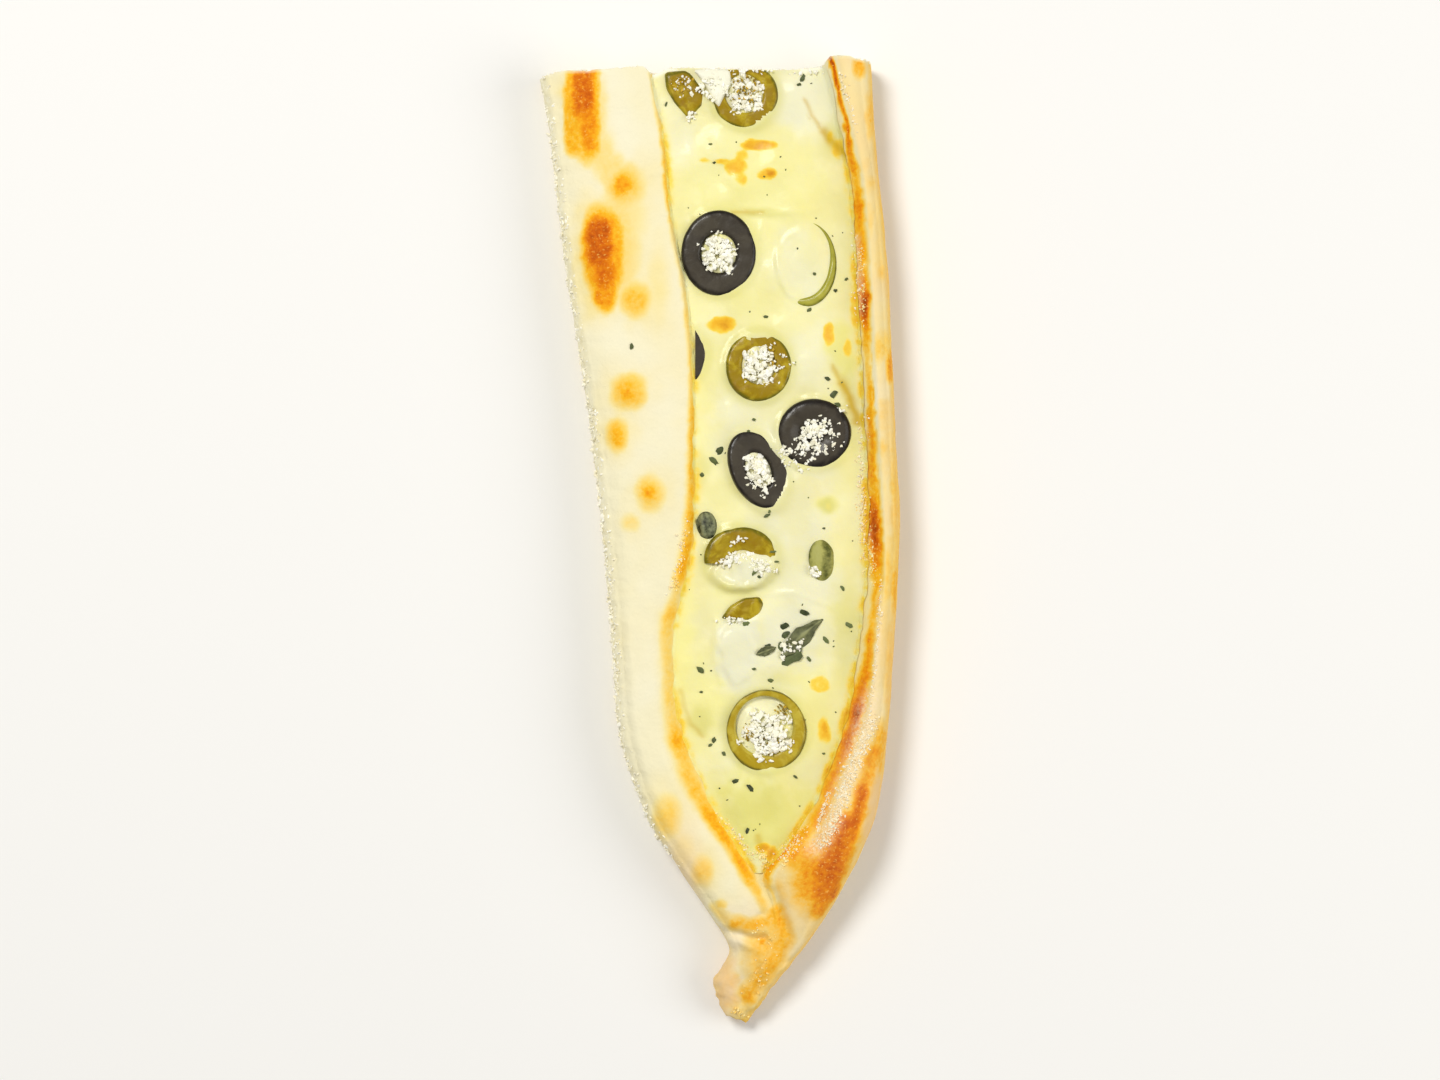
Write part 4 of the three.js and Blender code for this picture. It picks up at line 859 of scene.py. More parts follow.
# name, centre, radii, turn, tilt, share of the hole, what is special to it
RINGS = [
    ("green_olive_ring_cut_end", (6, 106.2), (7.9, 7.9), 0, 0, 0.56,
     {"keep": ((0, 112.3, 0), (0, -1, 0)), "hole_shift": (-0.3, 0.5)}),
    ("black_olive_ring", (-0.3, 68.6), (9, 10.2), 0, 2, 0.46, {}),
    ("green_olive_ring_middle", (9.2, 41.5), (7.9, 8.5), 0, -3, 0.5, {}),
    ("black_olive_slice_right", (22.5, 25.4), (8.9, 8.4), 0, 3, 0.1,
     {"proud": 1.45, "bowl": 1.05, "hole_shift": (-1.2, 0.4)}),
    ("black_olive_slice_left", (9.1, 16.7), (10, 6.6), -63, -7, 0.42, {}),
    ("green_olive_half", (5.1, -4.4), (9, 7.6), 0, 0, 0.24, {"keep": ((0, -5.6, 0), (0, 1, 0))}),
    ("green_olive_ring_low", (11.1, -45.6), (9.6, 9.9), 0, 2, 0.71, {"hole_shift": (-0.5, 1.3)}),
    ("black_olive_half_moon", (-11.8, 44.3), (8.8, 8.8), 0, 0, 0.45,
     {"keep": ((section(44.3).fill_left + 0.3, 0, 0), (1, 0, 0)), "proud": 0.7}),
]


def make_ring(
        name, at, radii, turn, tilt, hole, seed, proud=RING_PROUD, keep=None, hole_shift=(0, 0), bowl=0.22):
    """An olive slice: a rounded wall round the hole of the stone, with an uneven edge."""
    mean = sum(radii) / 2
    angle = np.arange(RING_POINTS)[:, None] * 2 * math.pi / RING_POINTS
    phase = np.arange(WALL_POINTS)[None] * 2 * math.pi / WALL_POINTS
    rng = np.random.default_rng(seed)
    wave_out, wave_in = (
        sum(rng.uniform(-1, 1) * np.cos(angle * n + rng.uniform(0, 6)) / n for n in waves)
        for waves in ((2, 3, 4, 5), (2, 3, 5, 7)))
    half = mean * (1 - hole) / 2
    c, d = (np.sign(v) * np.abs(v) ** SLICE_SQUARENESS for v in (np.cos(phase), np.sin(phase)))
    upward = np.clip(d, 0, 1)
    outer, inner = (1 + c) / 2, (1 - c) / 2
    r = mean - half + half * c + 0.1 * wave_out * outer - 0.014 * mean * np.abs(wave_in) * inner
    # the cut face dips a little between skin and hole
    dip = smoothstep(0.25 - c, 0, 0.9) if bowl > 1 else np.clip(1 - np.abs(c) ** 2.4, 0, 1)
    x = r * np.cos(angle) * radii[0] / mean + hole_shift[0] * inner
    y = r * np.sin(angle) * radii[1] / mean + hole_shift[1] * inner
    z = SLICE_THICKNESS / 2 * d - bowl * dip * upward
    grain = 0.05 * rough(x, y + z * 0.7, 1.2, 2, make_noise(seed + 40))
    x, y, z = x * (1 + grain * 0.06), y * (1 + grain * 0.06), z + grain * upward
    y, z = turned(y, z, tilt)
    x, y = turned(x, y, turn)
    points = stacked(x + at[0], y + at[1], z + filling_at(*at) + proud - SLICE_THICKNESS / 2)
    index = np.arange(x.size).reshape(x.shape)
    faces = [grid_faces(np.concatenate([index, index[:1]]), closed=True)]
    piece = new_object(name, points, faces, radial=(r / mean - hole) / (1 - hole), facing=upward + 0 * angle)
    return rework(piece, 50, keep=keep)


def make_bud(name, at, radii, turn, proud, ribs, seed):
    """A round bud with ribs along it that meet at its ends."""
    around, rows = 48, 26
    theta = np.linspace(0, math.pi, rows)[:, None]
    phi = (np.arange(around) * 2 * math.pi / around)[None]
    wave = np.cos(phi * ribs + 0.6 * np.sin(theta * 2))
    uneven = make_noise(seed)(2.4 * np.cos(phi) + 5 + 0 * theta, theta * 2.4 + np.sin(phi))
    swell = 1 + 0.03 * wave * np.sin(theta) + 0.07 * uneven
    x, y = turned(radii[0] * np.sin(theta) * np.cos(phi) * swell, radii[1] * np.cos(theta), turn)
    z = radii[2] * np.sin(theta) * np.sin(phi) * swell
    points = stacked(x + at[0], y + at[1], z + filling_at(*at) + proud - radii[2])
    upward = np.clip(np.sin(theta) * np.sin(phi), 0, 1)
    piece = new_object(name, points, tube(rows, around)[:1], rib=(0.5 + 0.5 * wave) * (0.2 + 0.8 * upward))
    return rework(piece, join=0.01)


def outlined(name, corners, height, thickness, bevel, rounding, seed, relief=0.09):
    """A flat piece with a rounded outline and a soft domed top."""
    outline = np.array(corners, float)
    cut, dome_rows, side_rows = 0.12, 12, 5
    for _ in range(rounding):
        ahead = np.roll(outline, -1, axis=0)
        pair = (1 - cut) * outline + cut * ahead, cut * outline + (1 - cut) * ahead
        outline = np.stack(pair, 1).reshape(-1, 2)
    centre = outline.mean(0)
    size = np.abs(outline - centre).mean()
    levels = []
    for share in np.linspace(0.04, 1, dome_rows):
        edge = min((1 - share) * size / bevel, 1)
        levels.append((share, height - bevel + bevel * math.sqrt(max(edge * (2 - edge), 0))))
    levels += [(1, height - bevel - depth) for depth in np.linspace(0, thickness - bevel, side_rows)[1:]]
    levels += [(share, height - thickness) for share in (0.8, 0.4, 0.04)]
    share, z = np.array(levels).T[..., None]
    x, y = (centre[n] + (outline[:, n] - centre[n]) * share for n in (0, 1))
    z = z + relief * rough(x, y, 1.3, 2, make_noise(seed)) * (z > height - 1.2)
    points, faces = stacked(x, y, z), tube(*z.shape, winding=1)
    piece = new_object(name, points, faces, radial=share + 0 * z, facing=z > height - 1.2)
    return rework(piece, 55, join=0.005)


def make_leaf(name, start, end, width, thickness, seed, lift=0.25, teeth=0.2, bow=0):
    """A thin closed leaf with a mid vein, waves and a curled edge."""
    (x0, y0), (x1, y1) = start, end
    length = math.hypot(x1 - x0, y1 - y0)
    rows, columns = 34, 17
    noise = make_noise(seed)
    u = np.linspace(0, 1, rows)[:, None]
    v = np.linspace(-1, 1, columns)[None]
    share = np.sin(math.pi * np.clip(u, 0.02, 0.98)) ** 0.8
    half = width / 2 * share * (1 + teeth * noise(u * 9, np.sign(v) * 3 + 0 * u))
    aside = (half * v + bow * np.sin(math.pi * u)) / length
    x = x0 + (x1 - x0) * u - (y1 - y0) * aside
    y = y0 + (y1 - y0) * u + (x1 - x0) * aside
    fold = 0.32 * np.abs(v) ** 1.5 * share + lift * np.sin(u * 9) + 0.18 * noise(u * 5, v * 1.5 + 7)
    vein = 0.14 * np.exp(-(v / 0.16) ** 2) + 0.05 * np.cos((u * 16 - np.abs(v) * 5)) * (1 - np.abs(v))
    thick = thickness / 2 * np.maximum(share, 0.35) * (1 - 0.7 * np.abs(v) ** 3)
    middle = filling_at(x0 + (x1 - x0) * u, y0 + (y1 - y0) * u) + fold
    x, y, z, rib = (np.concatenate([upper, lower[:, ::-1]], axis=1) for upper, lower in (
        (x, x), (y, y), (middle + vein + thick, middle - thick), (np.clip(vein * 6, 0, 1), 0 * vein)))
    return rework(new_object(name, stacked(x, y, z), tube(*z.shape), rib=rib), join=0.004)


def make_sliver(name, at, radii, start, end):
    """The arc of a sunken slice that shows."""
    rows, columns = 70, 14
    u = np.linspace(0, 1, rows)[:, None]
    angle = np.radians(start + (end - start) * u)
    share = np.sin(math.pi * np.clip(u, 0.006, 0.99) ** 0.6) ** 0.7
    width = (3.5 - 2.5 * u) * share
    x, y = np.cos(angle) * radii[0], np.sin(angle) * radii[1]
    size = np.hypot(x, y)
    nx, ny = x / size, y / size
    x, y = at[0] + x - nx * width / 2, at[1] + y - ny * width / 2
    phi = (np.arange(columns) * 2 * math.pi / columns)[None]
    c, d = np.cos(phi), np.sin(phi)
    across = np.sign(c) * np.abs(c) ** 0.8 * width / 2
    z = 1.2 * d * np.where(d > 0, share, 1) - 0.15 * np.clip(-c, 0, 1) * (d > 0) - 0.45
    points = stacked(x + nx * across, y + ny * across, z + filling_at(x, y))
    radial, facing = 0.62 + 0.38 * c + 0 * u, np.clip(d, 0, 1) + 0 * u
    return rework(new_object(name, points, tube(rows, columns), radial=radial, facing=facing), join=0.004)


# Crumbs, flecks and smears
def make_grains(name, grains, seed, lumpiness=0.3, fineness=1):
    """Small irregular grains joined into one piece: x, y, z, size, stretch."""
    rng = np.random.default_rng(seed)
    bm = bmesh.new()
    bmesh.ops.create_icosphere(bm, subdivisions=fineness, radius=1)
    ball = np.array([vert.co[:] for vert in bm.verts])
    triangles = np.array([[vert.index for vert in face.verts] for face in bm.faces])
    bm.free()
    points, shade = [], []
    for x, y, z, size, stretch in grains:
        lump = 1 + lumpiness * rng.uniform(-1, 1, (len(ball), 1))
        direction = Quaternion(rng.normal(size=4)).normalized().to_matrix()
        points.append(ball * lump * (stretch, 1, 0.75) * size @ np.array(direction).T + (x, y, z))
        shade.append(np.full(len(ball), rng.uniform()))
    faces = [triangles + number * len(ball) for number in range(len(points))]
    return new_object(name, np.concatenate(points), faces, 40, shade=np.concatenate(shade))


def heap(at, radii, turn, base, rise, count, seed, sizes=(0.28, 0.75), edge=1, centre=(0, 0)):
    """Grains of a heap of crumbs on an oval."""
    rng = np.random.default_rng(seed)
    grains = []
    for _ in range(count):
        r, phi = rng.uniform() ** 0.5, rng.uniform(0, 2 * math.pi)
        r = r * (1 + 0.2 * math.sin(phi * 5 + seed) * edge)
        u, v = r * math.cos(phi) * radii[0], r * math.sin(phi) * radii[1]
        x, y = turned(u + centre[0], v + centre[1], turn)
        size = sizes[0] + (sizes[1] - sizes[0]) * rng.uniform() ** 1.8
        z = base + rise * max(1 - r * r, 0) + rng.uniform(-0.25, 0.15)
        grains.append((x + at[0], y + at[1], z, size, rng.uniform(1, 1.9)))
    return grains


def dusting(lines, rng, low, high):
    """Grains along lines: line, half width, count."""
    grains = []
    for line, half_width, count in lines:
        stops = np.array(line, float)
        place = rng.uniform(0, len(stops) - 1.001, count)
        k = place.astype(int)
        on_line = stops[k] + (stops[k + 1] - stops[k]) * (place - k)[:, None]
        x, y = (on_line + rng.normal(0, half_width * 0.5, (count, 2))).T
        size = low + (high - low) * rng.uniform(0, 1, count) ** 2
        grains += zip(x, y, surface_at(x, y) + size * 0.25, size, rng.uniform(1, 1.5, count))
    return grains


def make_flakes(name, flakes, seed):
    """Small bent leaf pieces joined into one mesh: x, y, z, length, width, turn."""
    rng = np.random.default_rng(seed)
    corners = 12
    phi = np.arange(corners) * 2 * math.pi / corners
    share = np.array([0.2, 0.62, 1, 1, 0.62, 0.2])[:, None]
    side = np.array([1, 1, 1, -1, -1, -1])[:, None]
    points, faces, shade = [], [], []
    for x, y, z, length, width, turn in flakes:
        reach = 1 + 0.22 * rng.uniform(-1, 1, corners)
        bend, roll = rng.uniform(-0.25, 0.25), rng.uniform(-0.3, 0.3)
        u = np.cos(phi) * reach * share * length / 2
        v = np.sin(phi) * reach * share * width / 2
        w = bend * (u / length * 2) ** 2 * length * 0.3 + roll * v + side * 0.11 * (1.15 - share ** 2)
        u, v = turned(u, v, turn)
        faces += tube(len(share), corners, len(points) * w.size, winding=1)
        points.append(stacked(x + u, y + v, z + w))
        shade.append(np.full(w.size, rng.uniform()))
    return rework(new_object(name, np.concatenate(points), faces, 40, rib=np.concatenate(shade)))


# Materials
def srgb(r, g, b):
    return (*(((c / 255 + 0.055) / 1.055) ** 2.4 if c > 10 else c / 255 / 12.92 for c in (r, g, b)), 1)


class Shader:
    """A material under construction, with short ways to add and link nodes."""

    def __init__(self, name):
        self.material = bpy.data.materials.new(name)
        self.material.use_nodes = True
        self.tree = self.material.node_tree
        self.bsdf = next(n for n in self.tree.nodes if n.type == "BSDF_PRINCIPLED")
        self.colour = self.normal = None

    def feed(self, node, inputs):
        """Sets inputs to numbers and colours, or links them to the outputs of other nodes."""
        for socket, value in inputs.items():
            if isinstance(value, bpy.types.NodeSocket):
                self.tree.links.new(value, node.inputs[socket])
            else:
                node.inputs[socket].default_value = value

    def node(self, kind, output, inputs, **settings):
        made = self.tree.nodes.new("ShaderNode" + kind)
        for key, value in settings.items():
            setattr(made, key, value)
        self.feed(made, inputs)
        return made.outputs[output]

    def value(self, name):
        return self.node("Attribute", "Fac", {}, attribute_name=name)

    def noise(self, scale, detail=3, roughness=0.55, distortion=0):
        return self.node("TexNoise", "Fac", {
            "Vector": self.node("TexCoord", "Object", {}), "Scale": scale, "Detail": detail,
            "Roughness": roughness, "Distortion": distortion})

    def math(self, operation, a, b, clamp=False):
        return self.node("Math", 0, {0: a, 1: b}, operation=operation, use_clamp=clamp)

    def times(self, a, b, clamp=False):
        return self.math("MULTIPLY", a, b, clamp)

    def plus(self, a, b, clamp=True):
        return self.math("ADD", a, b, clamp)

    def swing(self, value, amount, middle=0.5):
        return self.times(self.math("SUBTRACT", value, middle), amount)

    def spread(self, value, low, high, to_low=0, to_high=1):
        """Turns values from low to high smoothly into ones from to_low to to_high."""
        inputs = {"Value": value, "From Min": low, "From Max": high, "To Min": to_low, "To Max": to_high}
        return self.node("MapRange", "Result", inputs, interpolation_type="SMOOTHSTEP")

    def ramp(self, value, *stops):
        colour = self.node("ValToRGB", "Color", {"Fac": value})
        elements = colour.node.color_ramp.elements
        for _ in stops[2:]:
            elements.new(0.5)
        for element, (at, shade) in zip(elements, stops):
            element.position = at
            element.color = srgb(*shade)
        return colour

    def over(self, factor, colour):
        """Lays a colour over what is there."""
        if isinstance(colour, tuple):
            colour = srgb(*colour)
        self.colour = self.node("Mix", 2, {0: factor, 6: self.colour, 7: colour}, data_type="RGBA")

    def bump(self, height, distance, strength):
        inputs = {"Strength": strength, "Distance": distance, "Height": height}
        if self.normal is not None:
            inputs["Normal"] = self.normal
        self.normal = self.node("Bump", "Normal", inputs)

    def finish(self, roughness, **constants):
        self.feed(self.bsdf, {"Base Color": self.colour, "Roughness": roughness})
        if self.normal is not None:
            self.feed(self.bsdf, {"Normal": self.normal})
        self.feed(self.bsdf, {key.replace("_", " "): value for key, value in constants.items()})
        return self.material


def dough_material():
    m = Shader("baked_dough")
    # toasted places break up into speckles at their edges
    toast = m.value("toast")
    speckle = m.plus(m.swing(m.noise(260), 0.24), m.swing(m.noise(900, 4, 0.6), 0.5), False)
    level = m.plus(toast, m.times(speckle, m.spread(toast, 0.03, 0.5)))
    level = m.plus(level, m.swing(m.noise(45, 3, 0.5), 0.16, 0.45))
    m.colour = m.ramp(
        level, (0, (241, 233, 196)), (0.1, (243, 226, 160)), (0.26, (247, 208, 100)), (0.42, (247, 184, 34)),
        (0.6, (237, 144, 12)), (0.8, (208, 98, 4)), (1, (156, 62, 4)))
    pale = m.spread(m.noise(28, 3, 0.6, 0.4), 0.42, 0.66)
    m.over(m.times(pale, m.spread(level, 0.02, 0.16, 0.6, 0)), (243, 238, 212))
    # bright yellow flecks over the browned places are painted glints of light
    painted_glint = m.spread(m.noise(1700, 2, 0.5), 0.58, 0.72)
    m.over(m.times(painted_glint, m.spread(level, 0.4, 0.7, 0, 0.55)), (255, 202, 96))
    m.over(m.times(m.value("rosy"), m.spread(level, 0.2, 0.55, 0.8, 0.1)), (238, 196, 146))
    m.over(m.times(m.spread(m.noise(1300, 3, 0.7), 0.4, 0.6, 0.35, 1), m.value("flour")), (246, 224, 184))
    m.over(m.value("crumb"), m.ramp(m.noise(700), (0.3, (238, 228, 186)), (0.7, (250, 246, 222))))
    m.bump(m.noise(1300, 4, 0.65), 0.00022, 0.5)
    m.bump(m.noise(420), 0.0005, 0.45)
    return m.finish(m.spread(m.value("gloss"), 0, 1, 0.62, 0.4), Specular_IOR_Level=0.07)


def cheese_material():
    m = Shader("labneh")
    broad, fine = m.noise(70, 3, 0.5), m.noise(500, 3, 0.6)
    m.colour = m.ramp(broad, (0.36, (234, 227, 164)), (0.62, (242, 238, 194)))
    m.over(m.times(m.value("yellow"), 0.8, True), (243, 236, 146))
    m.over(m.times(m.value("white"), m.spread(broad, 0.3, 0.6, 0.5, 1), True), (234, 232, 200))
    m.over(m.times(m.value("green"), 0.85, True), (208, 202, 96))
    toast = m.value("toast")
    level = m.plus(toast, m.times(m.swing(fine, 0.5), m.spread(toast, 0.02, 0.4)))
    m.over(m.spread(level, 0.03, 0.3), m.ramp(
        level, (0, (246, 236, 150)), (0.25, (246, 214, 76)), (0.5, (240, 184, 40)), (0.8, (212, 138, 22)),
        (1, (160, 88, 20))))
    m.over(m.value("stain"), (204, 168, 24))
    m.over(m.value("cut"), (250, 248, 224))
    m.bump(m.noise(160, 3, 0.5), 0.0008, 0.35)
    m.bump(fine, 0.00025, 0.3)
    return m.finish(
        m.spread(m.noise(120, 2), 0.3, 0.7, 0.3, 0.5), Specular_IOR_Level=0.2, Coat_Weight=0.14,
        Coat_Roughness=0.12, Subsurface_Weight=0.15, Subsurface_Scale=0.6,
        Subsurface_Radius=(0.003, 0.0026, 0.0012))


def olive_material(name, rim, face, inner, streak, bruise, mottled):
    m = Shader(name)
    level = m.plus(m.value("radial"), m.swing(m.noise(350), 0.3))
    m.colour = m.ramp(level, (0, inner), (0.25, face), (0.78, face), (0.9, rim), (1, rim))
    m.over(m.times(m.spread(m.noise(240, 4, 0.6, 0.6), 0.46, 0.66), mottled), streak)
    m.over(m.times(m.spread(m.noise(170, 3, 0.6, 0.3), 0.52, 0.7), 0.45), bruise)
    # everything that doesn't face up takes the dark skin colour: the skin's own colour on the outer wall,
    # painted shade on the wall of the hole and on the cut sides
    m.over(m.times(m.math("SUBTRACT", 1, m.value("facing"), True), 0.7), rim)
    m.bump(m.noise(700, 4, 0.6), 0.0003, 0.4)
    m.bump(m.noise(180, 2, 0.5), 0.0006, 0.3)
    wet = m.spread(m.noise(300, 2), 0.3, 0.7, 0.26, 0.46)
    return m.finish(wet, Specular_IOR_Level=0.18, Coat_Weight=0.16, Coat_Roughness=0.14)


def herb_material(name, dark, light, ribbed=0.5, mottled=0.7, low=0.25, high=0.8):
    m = Shader(name)
    level = m.plus(m.times(m.value("rib"), ribbed), m.times(m.noise(620, 4, 0.65), mottled))
    m.colour = m.ramp(level, (low, dark), (high, light))
    m.bump(m.noise(900, 4), 0.0003, 0.6)
    return m.finish(0.5, Specular_IOR_Level=0.25)


def grain_material(name, dark, light, roughness):
    m = Shader(name)
    level = m.plus(m.times(m.value("shade"), 0.7), m.times(m.noise(900, 2), 0.4))
    m.colour = m.ramp(level, (0.1, dark), (0.8, light))
    return m.finish(roughness, Specular_IOR_Level=0.2)


GREEN_OLIVE = olive_material(
    "green_olive", (104, 98, 12), (150, 122, 2), (178, 152, 40), (194, 172, 40), (136, 92, 6), 0.7)
GREEN_OLIVE_PALE = olive_material(
    "green_olive_pale", (114, 104, 24), (174, 148, 26), (206, 192, 88), (206, 190, 72), (152, 120, 16), 0.6)
SLIVER = olive_material(
    "olive_sliver", (92, 98, 16), (164, 160, 54), (206, 202, 110), (190, 184, 76), (122, 118, 30), 0.6)
BLACK_OLIVE = olive_material(
    "black_olive", (28, 23, 19), (66, 60, 50), (34, 29, 24), (84, 78, 64), (52, 47, 40), 0.35)
# By colour, and by name for a slice that differs
OLIVE_LOOKS = {"green": GREEN_OLIVE, "black": BLACK_OLIVE, "green_olive_ring_low": GREEN_OLIVE_PALE}
HERB =herb_material("herb", (72, 76, 48), (150, 152, 104))

# The pieces
settle(make_dough(), "crust", dough_material())
settle(make_filling(), "labneh_filling", cheese_material())
for number, (name, *form, special) in enumerate(RINGS):
    hue = name.split("_")[0]
    piece = make_ring(name + "_slice", *form, seed=20 + number, **special)
    settle(piece, name, OLIVE_LOOKS.get(name, OLIVE_LOOKS[hue]))
wedge = [
    (-13.3, 111.9), (-7.7, 112.5), (-2.9, 106.4), (-3.8, 103.8), (-7.6, 100.5), (-10.7, 104.2),
    (-12.9, 107.9),
]
chip = [
    (0.2, -18.8), (2.3, -15.8), (5.6, -13.9), (9.3, -13.5), (10.6, -15.2), (9.9, -17.8), (7.3, -19.4),
    (3.9, -18.9),
]
for name, corners, middle, seed in (("wedge", wedge, (-8.3, 107), 51), ("chip", chip, (6, -16.5), 52)):
    piece = outlined("olive_" + name, corners, filling_at(*middle) + 0.7, 3, 0.8, 2, seed)
    settle(piece, "green_olive_" + name, GREEN_OLIVE)
settle(make_sliver("olive_sliver", at=(20.7, 65.9), radii=(7.2, 10.2), start=-116, end=96),
       "green_olive_sliver", SLIVER)
settle(make_bud("caper_bud", (-3.1, 3.5), (2.6, 3.4, 2.1), turn=12, proud=1.7, ribs=9, seed=61),
       "caper", herb_material("caper", (24, 30, 18), (136, 140, 104), 0.14, 0.9, 0.36, 0.66))
settle(make_bud("green_bud", (24.3, -4.8), (3.1, 5.2, 1.9), turn=4, proud=1.45, ribs=3, seed=62),
       "herb_bud", herb_material("herb_bud", (84, 88, 30), (172, 170, 92), 0.5, 0.8, 0.35, 0.72))
settle(make_leaf("leaf_long", (24.6, -18.9), (14.4, -28.2), 4, 0.7, seed=71, teeth=0.25, bow=-0.5),
       "herb_leaf_long", HERB)
settle(make_leaf("leaf_short", (13.4, -25.6), (8.6, -27.4), 2.2, 0.6, seed=72),
       "herb_leaf_short", HERB)

# Crumbs in the holes: centre, radii, turn, share of the hole, count, then middle, spread and count of more
HEAPS = [
    ((6, 106.4), (7.9, 7.9), 0, 0.56, 110, (-0.4, 0.4), (4.8, 4.4), 70),
    ((-0.3, 68.6), (9, 10.2), 0, 0.44, 130, (-0.4, 0), (4.6, 5), 50),
    ((9.2, 41.5), (7.9, 8.5), 0, 0.5, 100, (1.4, 0.8), (5.6, 4.8), 90),
    ((22.2, 24.6), (12, 6.6), 48, 0.4, 60, (0.4, -0.6), (8.4, 5), 180),
    ((9.1, 16.7), (10, 6.6), -63, 0.42, 100, (1.6, -0.8), (4.8, 3), 70),
    ((11.4, -46.4), (7.4, 7.6), 0, 0.72, 170, (0.2, -0.4), (5.9, 6.1), 130),
]
# Further crumbs, and bits of olive: centre, radii, turn, height over the filling, rise, count
SCATTERS = [
    ((16.2, 21), (2.4, 3.4), 0, 0.3, 0.5, 34), ((3.6, -4.6), (4.4, 1.5), 12, 1.2, 0.5, 90),
    ((9.6, -6.4), (3.6, 1.6), -20, 1.2, 0.5, 70), ((4.2, -0.4), (2.4, 0.8), 20, 1.15, 0.1, 9),
    ((3, -19.2), (3.6, 0.8), -4, 0.5, 0.3, 40), ((-1.6, 108.6), (3.6, 3.4), 0, 1.3, 0.5, 70),
    ((-8.8, 108.6), (3.2, 3), 0, 0.7, 0.1, 34), ((-7, 101.4), (1.2, 1.4), 0, 0.5, 0.2, 16),
    ((4, 112), (8, 0.7), 0, 0.4, 0.5, 30), ((16.6, -25.6), (3.4, 1.8), 30, 0.7, 0.3, 26),
    ((22.6, -7.6), (1.6, 1.4), 0, 1, 0.3, 24), ((20, 111.8), (5, 0.8), 0, 0.1, 0.2, 9),
]
OLIVE_BITS = [
    ((6.9, -45.4), (1.5, 2.6), 0, 0.7, 0.5, 26), ((14.8, -40.6), (1.7, 1.4), 0, 0.9, 0.4, 22),
    ((-8.8, 108.8), (2.8, 2.6), 0, 0.8, 0.1, 34), ((6.2, 107.6), (3.8, 3.2), 0, 1.4, 0.7, 46),
    ((12.2, 42.4), (1.8, 3), 0, 1.15, 0.1, 26), ((11.4, -48.6), (3.6, 2.6), 0, 0.9, 0.5, 22),
]


def scattered(table, seed, *sizes_and_edge):
    """Grains of all the heaps of a table."""
    grains = []
    for number, (at, radii, turn, over, rise, count) in enumerate(table):
        base = filling_at(*at) + over
        grains += heap(at, radii, turn, base, rise, count, seed + number, *sizes_and_edge)
    return grains


crumbs = []
for number, (at, radii, turn, hole, count, offset, spread, extra) in enumerate(HEAPS):
    base = filling_at(*at)
    crumbs += heap(at, (radii[0] * hole, radii[1] * hole), turn, base + 0.5, 1.3, count, 100 + number)
    base += RING_PROUD - 0.05
    crumbs += heap(at, spread, turn, base, 0.5, extra, 200 + number, (0.18, 0.5), 1.6, offset)
crumbs += scattered(SCATTERS, 300, (0.16, 0.5), 1.2)
settle(make_grains("olive_bits", scattered(OLIVE_BITS, 400, (0.16, 0.42)), 23), None,
       grain_material("olive_bits", (104, 84, 20), (206, 170, 52), 0.4))
settle(make_grains("cheese_crumbs", crumbs, 11, 0.34, 2), None,
       grain_material("cheese_crumbs", (244, 240, 212), (255, 254, 244), 0.6))

# Flour and browned crumbs along the folds: line, half width, number of grains
FLOUR_LINES = [
    ([(32.4, 73), (32.9, 62), (32.6, 52)], 1, 110),
    ([(34.2, 30), (33.6, 18), (33.8, 8), (34.6, -4)], 1.3, 240),
    ([(38.3, -10), (37.8, -20), (36.8, -32), (35.2, -44)], 0.5, 200),
    ([(-8.6, 4), (-9.6, -4), (-12.2, -13)], 0.8, 70),
    ([(36.6, -42), (33.6, -49), (31.2, -55), (29, -61), (27, -66.6), (24.2, -72.6)], 1.8, 1300),
    ([(26, -60), (24.6, -64), (23.2, -69)], 0.5, 120), ([(28.6, 111), (30.9, 104), (32.8, 97)], 0.8, 60),
    ([(19, -71), (15, -76)], 1.8, 70), ([(3, -69), (8, -76)], 1, 30),
]
TOASTED_LINES = [
    ([(33.4, 70), (34, 62), (34, 51)], 1, 90),
    ([(34.4, 13), (34.6, 4), (35.4, -4), (36.8, -9)], 1.5, 230),
    ([(-7.9, 6), (-8.8, -4), (-11.6, -14)], 0.8, 50), ([(20.6, -69), (16.6, -73), (14.4, -77)], 1.6, 110),
    ([(9, -74), (11, -78)], 1.4, 60), ([(0, -66), (8, -76)], 0.9, 50), ([(9, -93), (13, -97)], 1.6, 24),
    ([(12, -99), (8, -108)], 2.4, 30), ([(3, -113), (6, -114.4)], 0.9, 24),
]
rng = np.random.default_rng(17)
settle(make_grains("flour_grains", dusting(FLOUR_LINES, rng, 0.08, 0.34), 18, 0.25), None,
       grain_material("flour_grains", (246, 218, 160), (252, 245, 222), 0.7))
settle(make_grains("toasted_crumbs", dusting(TOASTED_LINES, rng, 0.1, 0.36), 21), None,
       grain_material("toasted_crumbs", (248, 206, 92), (255, 240, 178), 0.6))


def on_left_side(y, angle):
    """Places on the bulge of the long outer edge, by the angle round it."""
    e = section(y)
    shoulder = crust_top(e.left + e.left_bulge, y, e)
    x = e.left + e.left_bulge * (1 - np.cos(angle))
    return x, y, e.lift + (shoulder - e.lift) * (1 + np.sin(angle)) / 2


